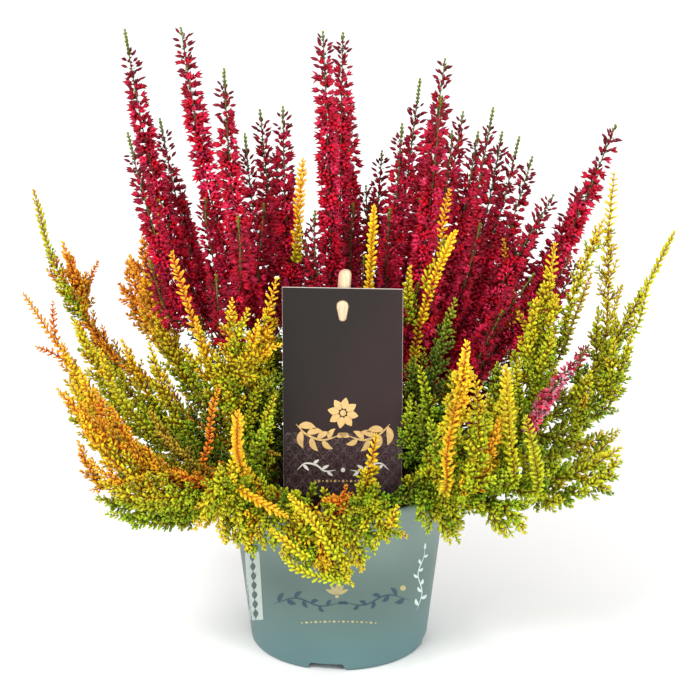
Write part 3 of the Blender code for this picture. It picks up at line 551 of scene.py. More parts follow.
def tilt_matrix(lean, round_):
    """Turns +Z by lean towards +X, then all of it by round_ about Z."""
    c, s = math.cos(lean), math.sin(lean)
    a = np.array([[c, 0, s], [0, 1, 0], [-s, 0, c]])
    c, s = math.cos(round_), math.sin(round_)
    return np.array([[c, -s, 0], [s, c, 0], [0, 0, 1]]) @ a


def together(parts):
    """Several (form, matrix, offset) as one form."""
    points, faces, tones, n = [], [], [], 0
    for (p, f, t), turn, offset in parts:
        points.append(p @ np.asarray(turn).T + np.asarray(offset))
        faces.append(f + n)
        tones.append(t)
        n += len(p)
    return np.concatenate(points), np.concatenate(faces), np.concatenate(tones)


def blossom(spread, sepals=4, inner=0.8):
    """An opening flower along +Z: pointed sepals round a closed bud, one unit long."""
    sepal = pod(3, [(0.5, 0.5)], flat=0.5, tones=[(0, 0.35), (0.5, 1.0), (1, 0.5)])
    width = np.diag([0.5, 0.5, 1.0])
    parts = []
    for k in range(sepals):
        turn = tilt_matrix(spread * (1.0 + 0.12 * (k % 2)), math.tau * k / sepals)
        # the flat side of each sepal faces the middle
        face = np.array([[0, 1, 0], [-1, 0, 0], [0, 0, 1]])
        parts.append((sepal, turn @ face @ width, (0, 0, 0)))
    bud = pod(4, [(0.5, 0.5)], tones=[(0, 0.4), (0.5, 0.8), (1, 1.0)])
    if inner:
        parts.append((bud, np.diag([0.4, 0.4, inner]), (0, 0, 0)))
    return together(parts)


FORMS = {
    "finger": pod(4, [(0.16, 0.36), (0.6, 0.5), (0.9, 0.38)], flat=0.85, twist=0.5, arch=0.08),
    "leaflet": pod(3, [(0.25, 0.5), (0.82, 0.58)], flat=0.85, twist=0.5, arch=0.08),
    "scale": pod(3, [(0.6, 0.55)], flat=0.85, arch=0.08),
    "bud": pod(4, [(0.3, 0.45), (0.62, 0.46)], tones=[(0, 0.4), (0.5, 0.95), (1, 0.15)]),
    "flower_shut": blossom(0.2, 4, 0.7),
    "flower_half": blossom(0.4, 4, 0.75),
    "flower_open": blossom(0.6, 4, 0.7),
    "stalk": pod(3, [(0.5, 0.5)]),
    "crumb": pod(5, [(0.3, 0.45), (0.7, 0.4)]),
    "flower_deep": blossom(0.42, 4, 0.0),
}


def unit(v):
    return v / np.maximum(np.linalg.norm(v, axis=-1, keepdims=True), 1e-9)


def frames(ahead, towards):
    """Matrices whose Z is ahead and whose Y leans to towards, for arrays of directions."""
    z = unit(ahead)
    x = unit(np.cross(towards, z))
    y = np.cross(z, x)
    return np.stack([x, y, z], axis=2)


def blocked(p, keep=0.5):
    """Which points (in millimetres) lie in the card, the stick, the pot's wall or the soil."""
    x, y, z = p[:, 0], p[:, 1], p[:, 2]
    yaw = math.radians(CARD_YAW_DEG)
    cx, cy, cz = CARD_CENTRE
    across = (x - cx) * math.cos(yaw) + (y - cy) * math.sin(yaw)
    deep = -(x - cx) * math.sin(yaw) + (y - cy) * math.cos(yaw)
    bad = (np.abs(across) < CARD_WIDTH / 2 + keep) & (np.abs(deep) < CARD_THICK / 2 + keep)
    bad &= np.abs(z - cz) < CARD_HEIGHT / 2 + keep
    sx = cx + STAKE_LEAN * (z - NIB_HEIGHT_ON_STAKE)
    bad |= (np.hypot(x - sx, y - STAKE_Y) < STAKE_RADIUS + keep) & (z < STAKE_TOP + keep)
    r = np.hypot(x, y)
    out = wall_radius(z) + np.where(z > 93.5, RIM_LIP, 0.0)
    bad |= (z < POT_HEIGHT + keep) & (r > wall_radius(z) - 2.6 - keep) & (r < out + keep)
    bad |= (z < SOIL_TOP) & (r < wall_radius(z) - 1.0)
    return bad


class Piece:
    """Many small closed forms, gathered in lists and made into one mesh at the end."""

    def __init__(self, name):
        self.name = name
        self.points, self.faces, self.tints, self.slots = [], [], [], []
        self.count = 0
        self.waiting = {}

    def put(self, points, faces, tints, slot):
        self.points.append(points)
        self.faces.append(faces + self.count)
        self.tints.append(tints)
        self.slots.append(np.full(len(faces), slot))
        self.count += len(points)

    def later(self, form, slot, at, turn, size, low, high):
        """Copies of a form: where, how turned, how large on its three axes, and its two end colours."""
        self.waiting.setdefault((form, slot), []).append((at, turn, size, low, high))

    def settle(self):
        for (form, slot), groups in self.waiting.items():
            at, turn, size, low, high = (np.concatenate(x) for x in zip(*groups))
            tips = at + turn[:, :, 2] * size[:, 2:3]
            ok = ~(blocked(at, 0.2) | blocked(tips) | blocked(0.5 * (at + tips)) | blocked(0.25 * at + 0.75 * tips))
            at, turn, size, low, high = at[ok], turn[ok], size[ok], low[ok], high[ok]
            if not len(at):
                continue
            points, faces, tone = FORMS[form]
            local = points[None] * size[:, None, :]
            world = np.einsum("kij,knj->kni", turn, local) + at[:, None, :]
            tints = low[:, None, :] * (1 - tone)[None, :, None] + high[:, None, :] * tone[None, :, None]
            index = faces[None] + (np.arange(len(at)) * len(points))[:, None, None]
            self.put(world.reshape(-1, 3), index.reshape(-1, 3), tints.reshape(-1, 3), slot)
        self.waiting = {}

    def tube(self, points, radii, tints, sides=5, slot=STEM_SLOT):
        """A closed round stem along the points."""
        points = np.asarray(points, float)
        n = len(points)
        ahead = unit(np.gradient(points, axis=0))
        side = unit(np.cross(ahead[0], [0.31, 0.87, 0.37]))
        rings = []
        for k in range(n):
            side = unit(side - ahead[k] * (side @ ahead[k]))
            other = np.cross(ahead[k], side)
            a = np.arange(sides) * math.tau / sides
            rings.append(points[k] + radii[k] * (np.cos(a)[:, None] * side + np.sin(a)[:, None] * other))
        body = np.concatenate([points[:1], *rings, points[-1:]])
        faces = []
        for s in range(sides):
            t = (s + 1) % sides
            faces.append((0, 1 + t, 1 + s))
            for k in range(n - 1):
                a, b = 1 + k * sides, 1 + (k + 1) * sides
                faces.append((a + s, a + t, b + s))
                faces.append((a + t, b + t, b + s))
            top = 1 + (n - 1) * sides
            faces.append((top + s, top + t, len(body) - 1))
        tints = np.asarray(tints, float)
        shade = np.concatenate([tints[:1], np.repeat(tints, sides, axis=0), tints[-1:]])
        self.put(body, np.array(faces), shade, slot)

    def make(self, replaced, slot):
        self.settle()
        points = np.concatenate(self.points) * MM
        faces = np.concatenate(self.faces)
        mesh = bpy.data.meshes.new(self.name)
        mesh.vertices.add(len(points))
        mesh.vertices.foreach_set("co", points.ravel().astype(np.float32))
        mesh.loops.add(faces.size)
        mesh.loops.foreach_set("vertex_index", faces.ravel().astype(np.int32))
        mesh.polygons.add(len(faces))
        mesh.polygons.foreach_set("loop_start", np.arange(0, faces.size, 3, dtype=np.int32))
        for mat in (LEAF, PETAL, STEM):
            mesh.materials.append(mat)
        mesh.polygons.foreach_set("material_index", np.concatenate(self.slots).astype(np.int32))
        mesh.update(calc_edges=True)
        mesh.shade_smooth()
        tints = np.ones((len(points), 4), np.float32)
        tints[:, :3] = np.clip(np.concatenate(self.tints), 0.0, 1.0)
        mesh.color_attributes.new("tint", "FLOAT_COLOR", "POINT").data.foreach_set("color", tints.ravel())
        ob = bpy.data.objects.new(self.name, mesh)
        bpy.context.scene.collection.objects.link(ob)
        return finish_piece(ob, replaced)


def finish_piece(ob, replaced):
    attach(ob, "root")
    for name in replaced:
        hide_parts(name)
    return ob


# ------------------------------------------------------------------ leaves and flowers on a line


class Rail:
    """A smooth line with its length, and the place, heading and side at any distance from its tip."""

    def __init__(self, points, step=1.5, smooth=True):
        points = np.asarray(points, float)
        rough = np.linalg.norm(np.diff(points, axis=0), axis=1).sum()
        self.line = through(points, max(int(rough / step) + 1, 5)) if smooth else points
        steps = np.linalg.norm(np.diff(self.line, axis=0), axis=1)
        self.run = np.concatenate([[0.0], np.cumsum(steps)])
        self.length = self.run[-1]
        self.ahead = unit(np.gradient(self.line, axis=0))
        side = unit(np.cross(self.ahead[0], [0.0, 1.0, 0.02]))
        sides = []
        for a in self.ahead:
            side = unit(side - a * (side @ a))
            sides.append(side)
        self.side = np.array(sides)

    def at(self, from_tip):
        want = np.clip(self.length - np.asarray(from_tip, float), 0, self.length)
        spot = np.stack([np.interp(want, self.run, self.line[:, k]) for k in range(3)], axis=-1)
        ahead = unit(np.stack([np.interp(want, self.run, self.ahead[:, k]) for k in range(3)], axis=-1))
        side = np.stack([np.interp(want, self.run, self.side[:, k]) for k in range(3)], axis=-1)
        side = unit(side - ahead * (side * ahead).sum(-1, keepdims=True))
        return spot, ahead, side


def stops_at(stops, q):
    return np.stack([np.interp(q, [s[0] for s in stops], [s[1][k] for s in stops]) for k in range(3)], axis=-1)


def palette(stem, *stops):
    return {"stem": srgb(*stem), "stops": [(at, srgb(*colour) * DEEPER) for at, colour in stops]}


DEEPER = np.array([0.98, 1.0, 0.45])  # leaves hardly reflect blue


PALETTES = {
    "outer": palette((176, 66, 36), (0, (214, 160, 62)), (0.04, (190, 188, 62)), (0.3, (178, 194, 56)), (0.4, (232, 150, 50)), (0.6, (228, 156, 46)), (0.8, (210, 196, 48)), (1, (142, 166, 42))),
    "amber": palette((182, 62, 34), (0, (234, 178, 62)), (0.2, (228, 156, 48)), (0.5, (216, 174, 46)), (0.8, (222, 190, 48)), (1, (160, 174, 42))),
    "honey": palette((186, 78, 36), (0, (246, 192, 66)), (0.3, (240, 180, 52)), (0.6, (224, 188, 50)), (1, (160, 176, 42))),
    "gold": palette((190, 78, 34), (0, (252, 212, 66)), (0.3, (242, 202, 52)), (0.6, (216, 206, 50)), (1, (152, 180, 42))),
    "lemon": palette((158, 66, 34), (0, (224, 200, 62)), (0.3, (212, 204, 54)), (0.65, (188, 204, 48)), (1, (136, 170, 40))),
    "lime": palette((138, 72, 36), (0, (206, 200, 64)), (0.3, (192, 200, 54)), (0.7, (170, 192, 46)), (1, (124, 156, 38))),
    "fern": palette((100, 76, 36), (0, (184, 198, 58)), (0.4, (150, 178, 46)), (1, (100, 134, 36))),
    "olive": palette((112, 58, 34), (0, (194, 160, 66)), (0.4, (150, 142, 52)), (1, (92, 108, 40))),
    "ember": palette((174, 44, 34), (0, (236, 170, 60)), (0.3, (232, 130, 48)), (0.7, (224, 146, 48)), (1, (186, 142, 44))),
    "apricot": palette((196, 60, 40), (0, (250, 190, 72)), (0.3, (250, 160, 62)), (0.65, (244, 172, 56)), (1, (206, 176, 50))),
    "moss": palette((84, 58, 32), (0, (150, 160, 52)), (0.4, (106, 132, 42)), (1, (62, 88, 32))),
    # deep: the darkest greens, for the shoots inside the plants and the twigs under the flowers, partly their own
    # colour and partly painted shade
    "deep": palette((70, 50, 30), (0, (112, 138, 48)), (0.5, (80, 112, 38)), (1, (48, 76, 30))),
}


def leaves(piece, rail, rng, colours, long, wide, gap, taper, form, lean=0.8, bare=0.0, dim=1.0, first=0.0):
    """Leaflets in crossed pairs along a rail, small at the tip and full-sized after taper millimetres."""
    spots, d = [], 0.6 + first
    while d < rail.length * (1 - bare):
        spots.append(d)
        full = min(0.5 + 0.5 * d / taper, 1.0)
        d += gap * (0.55 + 0.45 * full)
    if not spots:
        return
    d = np.repeat(np.array(spots), 2)
    n = len(d)
    k = np.arange(n)
    full = np.clip(0.5 + 0.5 * d / taper, 0, 1)
    spot, ahead, side = rail.at(d)
    other = np.cross(ahead, side)
    phase = rng.uniform(0, math.tau)
    around = phase + (k // 2) * (math.pi / 2) + (k % 2) * math.pi + rng.normal(0, 0.22, n)
    away = np.cos(around)[:, None] * side + np.sin(around)[:, None] * other
    steep = lean * (0.72 + 0.28 * full) + rng.normal(0, 0.09, n)
    heading = np.cos(steep)[:, None] * ahead + np.sin(steep)[:, None] * away
    size = np.stack([wide * full, wide * full, long * full], axis=1) * rng.uniform(0.84, 1.14, (n, 1))
    base = stops_at(colours["stops"], d / max(rail.length, 1.0))
    base = base * 1.06 * dim * rng.uniform(0.88, 1.1, (n, 1)) * np.exp(rng.normal(0, 0.04, (n, 3)))
    # Each leaflet grows darker and redder towards its foot on the stem: partly its own colour, partly painted shade
    # where it meets the stem.
    low = base * np.array([0.72, 0.6, 0.45]) + 0.06 * colours["stem"]
    piece.later(form, LEAF_SLOT, spot, frames(heading, ahead), size, low, base)
    # the last leaflet ends the shoot
    spot, ahead, side = rail.at(np.array([0.8]))
    tip = stops_at(colours["stops"], np.array([0.0])) * dim
    piece.later(form, LEAF_SLOT, spot, frames(ahead, side), np.array([[wide * 0.5, wide * 0.5, long * 0.6]]), tip * 0.6, tip)


def stem_tints(rail, colours, count, dim=1.0):
    q = np.linspace(1, 0, count)[:, None]
    return (colours["stem"] * (1 - 0.35 * q)) * dim


def side_line(rail, d, away, length, lean, rise):
    """Points of a side shoot that leaves a rail at distance d from its tip and bends back towards its heading."""
    spot, ahead, _ = rail.at(np.array([d]))
    spot, ahead = spot[0], ahead[0]
    goal = unit(ahead + np.array([0, 0, rise]))
    heading = unit(math.cos(lean) * ahead + math.sin(lean) * away)
    points = [spot]
    for k in range(4):
        w = 0.16 * k
        points.append(points[-1] + unit(heading * (1 - w) + goal * w) * length / 4)
    return np.array(points)


def shoot(piece, line, rng, colours, long=4.2, wide=1.6, gap=1.75, taper=12.0, side=12.0, clear=20.0, apart=5.2,
          stem=0.7, bare=0.12, lean=0.82, dim=1.0, form="leaflet", twig="scale", rise=0.25, reach=0.34, small=0.92):
    """A leafy shoot: leaflets straight on the stem near its tip, and further down side twigs that get longer."""
    rail = Rail(line)
    count = max(int(rail.length / 7), 4)
    q = np.linspace(0, 1, count)
    spots = rail.at(rail.length * (1 - q))[0]
    piece.tube(spots, stem * (1 - 0.72 * q), stem_tints(rail, colours, count, dim))
    leaves(piece, rail, rng, colours, long, wide, gap, taper, form, lean, bare, dim)
    d = clear
    turn = rng.uniform(0, math.tau)
    while d < rail.length * (1 - max(bare, 0.1)) and side > 0:
        for k in range(2):
            size = min(side, 4.5 + reach * (d - clear)) * rng.uniform(0.7, 1.2)
            spot, ahead, along = rail.at(np.array([d]))
            other = np.cross(ahead[0], along[0])
            a = turn + k * math.pi + rng.normal(0, 0.2)
            away = math.cos(a) * along[0] + math.sin(a) * other
            twig_line = side_line(rail, d, away, size, 0.75 + rng.normal(0, 0.08), rise)
            if blocked(twig_line, 1.0).any():
                continue
            little = Rail(twig_line, smooth=False)
            q0 = d / rail.length
            # every twig has its own hue, reddens where it leaves the stem, its own colour, and darkens there, partly
            # painted shade
            greener = rng.normal(0, 0.14)
            swing = np.exp(greener * np.array([-1.0, 0.4, 0.0])) * rng.uniform(0.78, 1.16) * (1 - max(greener, 0))
            outer = stops_at(colours["stops"], min(q0 * 0.85, 1)) * swing
            near = stops_at(colours["stops"], min(q0 * 1.1 + 0.15, 1)) * swing
            shade = {"stem": colours["stem"], "stops": [(0, 1.06 * outer), (0.5, near), (1, 0.42 * near + 0.3 * colours["stem"])]}
            leaves(piece, little, rng, shade, long * small * 1.16, wide * small * 1.1, gap * small * 1.17, 5.0, twig, 0.78 * lean, 0.06, dim)
            piece.tube(twig_line[::2], [0.34, 0.28, 0.16], np.repeat(colours["stem"][None] * 0.8 * dim, 3, 0), 3)
        turn += math.pi / 2 + rng.normal(0, 0.15)
        d += apart * rng.uniform(0.85, 1.15)
    return rail


# The pink that some flowers are mixed towards is partly their own pink and partly painted highlight.
FLOWERS = {
    "crimson": {"low": srgb(104, 4, 26), "high": srgb(216, 12, 44), "pink": srgb(240, 52, 100), "bud": srgb(176, 12, 46), "rare": 2.0},
    "pale": {"low": srgb(120, 8, 40), "high": srgb(226, 22, 74), "pink": srgb(255, 176, 198), "bud": srgb(196, 20, 60), "rare": 1.9},
}
SPIKE_STEM_TOP = srgb(116, 114, 54)
SPIKE_STEM_LOW = srgb(104, 70, 48)
BRACT = srgb(84, 72, 38)


def spike(piece, line, rng, colours, green=5.0, wide=1.0, end=None, gap=2.1, skirt=6.0, dim=1.0, twigs=True, rings=3):
    """A flower spike: stem, a green growing tip, single buds, then whorls of flowers, and leafy twigs lower down."""
    rail = Rail(line)
    end = 0.8 * rail.length if end is None else end
    count = max(int(rail.length / 8), 6)
    q = np.linspace(0, 1, count)
    spots = rail.at(rail.length * (1 - q))[0]
    mix = np.clip((q - 0.5) / 0.5, 0, 1)[:, None]
    piece.tube(spots, 0.72 - 0.4 * q, (SPIKE_STEM_LOW * (1 - mix) + SPIKE_STEM_TOP * mix) * dim)
    # the growing tip: plump scale leaves close to the stem
    stops = [(0, srgb(142, 158, 34)), (0.5, srgb(110, 132, 26)), (1, srgb(92, 104, 26))]
    n = max(int(green / 0.95), 3)
    d = np.repeat(np.linspace(0.4, green + 0.6, n), 2)
    k = np.arange(len(d))
    spot, ahead, side = rail.at(d)
    other = np.cross(ahead, side)
    a = (k // 2) * (math.pi / 2) + (k % 2) * math.pi + rng.normal(0, 0.15, len(d))
    away = np.cos(a)[:, None] * side + np.sin(a)[:, None] * other
    steep = 0.5 + rng.normal(0, 0.07, len(d))
    heading = np.cos(steep)[:, None] * ahead + np.sin(steep)[:, None] * away
    full = np.clip(0.62 + d / 7.0, 0, 1)
    size = np.stack([1.25 * full, 1.25 * full, 2.4 * full], axis=1)
    base = stops_at(stops, d / max(green, 1)) * rng.uniform(0.82, 1.18, (len(d), 1))
    piece.later("scale", LEAF_SLOT, spot, frames(heading, ahead), size, base * 0.5, base)
    spot, ahead, side = rail.at(np.array([0.4]))
    piece.later("scale", LEAF_SLOT, spot, frames(ahead, side), np.array([[1.1, 1.1, 1.9]]), stops[1][1][None], stops[0][1][None])

    # flowers in whorls that turn from one to the next
    spots, turns, close, d = [], [], [], green + 1.0
    turn = 0.0
    while d < end:
        m = 2 if d - green < 2 else rings + (1 if d - green > 36 else 0)
        spots += [d] * m
        turns += [turn + math.tau * j / m for j in range(m)]
        turn += math.pi / m
        close += [(len(close) // m) % 2 == 1] * m
        d += gap * (1.0 - 0.08 * max(0.0, 1 - (d - green) / 20.0)) * rng.uniform(0.9, 1.1)
    if spots:
        d = np.array(spots)
        n = len(d)
        below = d - green
        grown = np.clip(0.7 + below / 75.0, 0, 1) * np.clip((end - d) / 16.0 + 0.7, 0, 1)
        single = below < rng.uniform(6, 26, n)
        keep = rng.uniform(0, 1, n) > np.where(single, 0.1, 0.05)
        spot, ahead, side = rail.at(d + rng.uniform(-0.7, 0.7, n))
        other = np.cross(ahead, side)
        a = rng.uniform(0, math.tau) + np.array(turns) + rng.normal(0, 0.3, n)
        away = np.cos(a)[:, None] * side + np.sin(a)[:, None] * other
        near = np.array(close) & (below > 9)
        steep = np.clip(0.93 + below / 80.0, 0, 1.3) - 0.4 * near + rng.normal(0, 0.17, n)
        heading = np.cos(steep)[:, None] * ahead + np.sin(steep)[:, None] * away
        stalk = (1.6 + 1.0 * grown) * wide * rng.uniform(0.7, 1.2, n) * np.where(near, 0.5, 1.0)
        foot = spot + heading * stalk[:, None]
        nod = heading + np.array([0, 0, -1.0]) * (0.3 * np.clip(below / 60, 0, 1))[:, None] + rng.normal(0, 0.14, (n, 3))
        green_tint = np.repeat(BRACT[None] * dim, n, 0)
        # stalks, where they can be seen
        shown = keep & (below < 45) & (rng.uniform(0, 1, n) < 0.75)
        size = np.stack([np.full(n, 0.5), np.full(n, 0.5), stalk + 0.6], axis=1)
        piece.later("stalk", STEM_SLOT, spot[shown], frames(heading, ahead)[shown], size[shown], green_tint[shown] * 0.6, green_tint[shown])
        # bracts where stalks leave the stem
        leafy = keep & (rng.uniform(0, 1, n) < np.where(below < 40, 0.75, 0.3))
        turned = unit(heading + 0.7 * ahead)
        size = np.stack([np.full(n, 0.9), np.full(n, 0.9), 2.1 * rng.uniform(0.8, 1.2, n)], axis=1) * wide
        piece.later("scale", LEAF_SLOT, spot[leafy], frames(turned, ahead)[leafy], size[leafy], green_tint[leafy] * 0.5, green_tint[leafy])
        # Each flower gets a random brightness of up to 1.36 and is mixed some way towards pink: partly the flowers' own
        # variation, partly painted highlight. Flowers near the green tip are darker.
        value = rng.uniform(0.5, 1.36, (n, 1)) * dim * (0.5 + 0.46 * np.clip(below / 60, 0, 1))[:, None]
        pink_and_highlight = rng.uniform(0, 1, (n, 1)) ** colours["rare"]
        high = (colours["high"] * (1 - pink_and_highlight) + colours["pink"] * pink_and_highlight) * value
        low = np.repeat(colours["low"][None], n, 0) * value
        bud = np.repeat(colours["bud"][None], n, 0) * value
        turn = frames(nod, rng.normal(0, 1, (n, 3)))
        pick = rng.uniform(0, 1, n)
        scale = rng.uniform(0.86, 1.14, (n, 1))
        slim = np.stack([np.full(n, 1.8), np.full(n, 1.8), 4.3 + 1.0 * pick], axis=1) * wide * scale
        slim *= np.clip(0.84 + below / 45, 0, 1.05)[:, None]
        full = np.repeat((5.0 * grown * wide)[:, None], 3, 1) * scale * np.array([1.08, 1.08, 1.0])
        full *= (1.0 + 0.1 * np.clip((below - 20) / 30, 0, 1))[:, None]
        ripe = np.clip(0.2 + below / 80, 0, 0.55)
        deep = keep & ~single & (below > 42)
        upper = keep & ~single & ~deep
        for form, c in (
            ("bud", keep & single),
            ("flower_shut", upper & (pick > ripe)),
            ("flower_half", upper & (pick <= ripe) & (pick > 0.1)),
            ("flower_open", upper & (pick <= 0.1)),
            ("flower_deep", deep),
        ):
            if c.any():
                alone = form == "bud"
                piece.later(form, PETAL_SLOT, foot[c], turn[c], (slim if alone else full)[c], low[c], (bud if alone else high)[c])
    # leafy twigs below the flowers, in the darkest greens: partly their own colour, partly painted shade
    if twigs:
        d = end + 3
        turn = rng.uniform(0, math.tau)
        while d < rail.length - 8:
            for k in range(2):
                _, ahead, along = rail.at(np.array([d]))
                a = turn + k * math.pi
                away = math.cos(a) * along[0] + math.sin(a) * np.cross(ahead[0], along[0])
                twig_line = side_line(rail, d, away, skirt * rng.uniform(0.8, 2.2), 0.8, 0.2)
                if blocked(twig_line, 1.0).any():
                    continue
                leaves(piece, Rail(twig_line, smooth=False), rng, PALETTES["deep"], 3.4, 1.4, 2.0, 4.0, "scale", 0.8, 0.05, dim)
                piece.tube(twig_line[::2], [0.32, 0.26, 0.16], np.repeat(SPIKE_STEM_LOW[None] * dim, 3, 0), 3)
            turn += math.pi / 2
            d += 7.0
    return rail

# ------------------------------------------------------------------ what each shoot looks like

STYLES = {
    "plain": dict(long=4.7, wide=1.6, gap=1.95, taper=10.0, side=0.0, form="finger", lean=0.95),
    "comb": dict(long=5.0, wide=1.75, gap=1.85, taper=11.0, side=0.0, form="finger", lean=0.95),
    "rope": dict(long=4.3, wide=1.95, gap=1.5, taper=9.0, side=0.0, form="finger", lean=0.8),
    "slender": dict(long=4.2, wide=1.6, gap=1.75, taper=14.0, side=10.0, clear=40.0, apart=6.0, lean=0.8),
    "column": dict(long=4.5, wide=1.6, gap=2.0, taper=16.0, side=10.0, clear=36.0, apart=6.2, lean=0.95),
    "sprig": dict(long=4.6, wide=1.9, gap=2.05, taper=9.0, side=10.0, clear=13.0, apart=6.4, lean=0.95, form="finger", twig="leaflet"),
    "thin": dict(long=3.6, wide=1.45, gap=1.85, taper=11.0, side=0.0, lean=0.9),
    "bold": dict(long=4.7, wide=1.75, gap=2.15, taper=11.0, side=13.0, clear=21.0, apart=5.9, form="finger", twig="leaflet", lean=0.92),
    "full": dict(long=4.4, wide=1.95, gap=2.15, taper=8.0, side=13.0, clear=7.0, apart=5.5, reach=0.5),
    "mid": dict(long=4.1, wide=1.8, gap=2.0, taper=11.0, side=13.0, clear=12.0, apart=5.7),
    "fine": dict(long=3.5, wide=1.6, gap=1.8, taper=11.0, side=9.0, clear=10.0, apart=5.2),
    "wispy": dict(long=3.9, wide=1.4, gap=2.2, taper=9.0, side=10.0, clear=18.0, apart=6.5),
}

# name: (palette, style)
LEAFY = {
    "gold_shoot_01": ("outer", "slender"),
    "gold_shoot_02": ("amber", "thin"),
    "gold_shoot_03": ("amber", "mid"),
    "green_shoot_04": ("lime", "mid"),
    "gold_shoot_05": ("lemon", "bold"),
    "gold_shoot_06": ("apricot", "mid"),
    "gold_shoot_07": ("honey", "plain"),
    "gold_shoot_08": ("gold", "mid"),
    "gold_shoot_09": ("gold", "bold"),
    "gold_shoot_10": ("honey", "comb"),
    "gold_shoot_11": ("gold", "bold"),
    "gold_shoot_12": ("gold", "bold"),
    "gold_shoot_13": ("gold", "bold"),
    "gold_shoot_14": ("fern", "bold"),
    "gold_shoot_15": ("gold", "bold"),
    "gold_shoot_16": ("gold", "rope"),
    "gold_shoot_17": ("gold", "rope"),
    "gold_shoot_18": ("lemon", "bold"),
    "gold_shoot_19": ("lemon", "column"),
    "gold_shoot_20": ("lime", "slender"),
    "gold_shoot_21": ("lemon", "bold"),
    "green_shoot_22": ("lime", "sprig"),
    "green_shoot_23": ("lime", "sprig"),
    "green_shoot_24": ("fern", "bold"),
    "green_shoot_25": ("fern", "mid"),
    "gold_shoot_26": ("lime", "mid"),
    "gold_shoot_27": ("lime", "mid"),
}

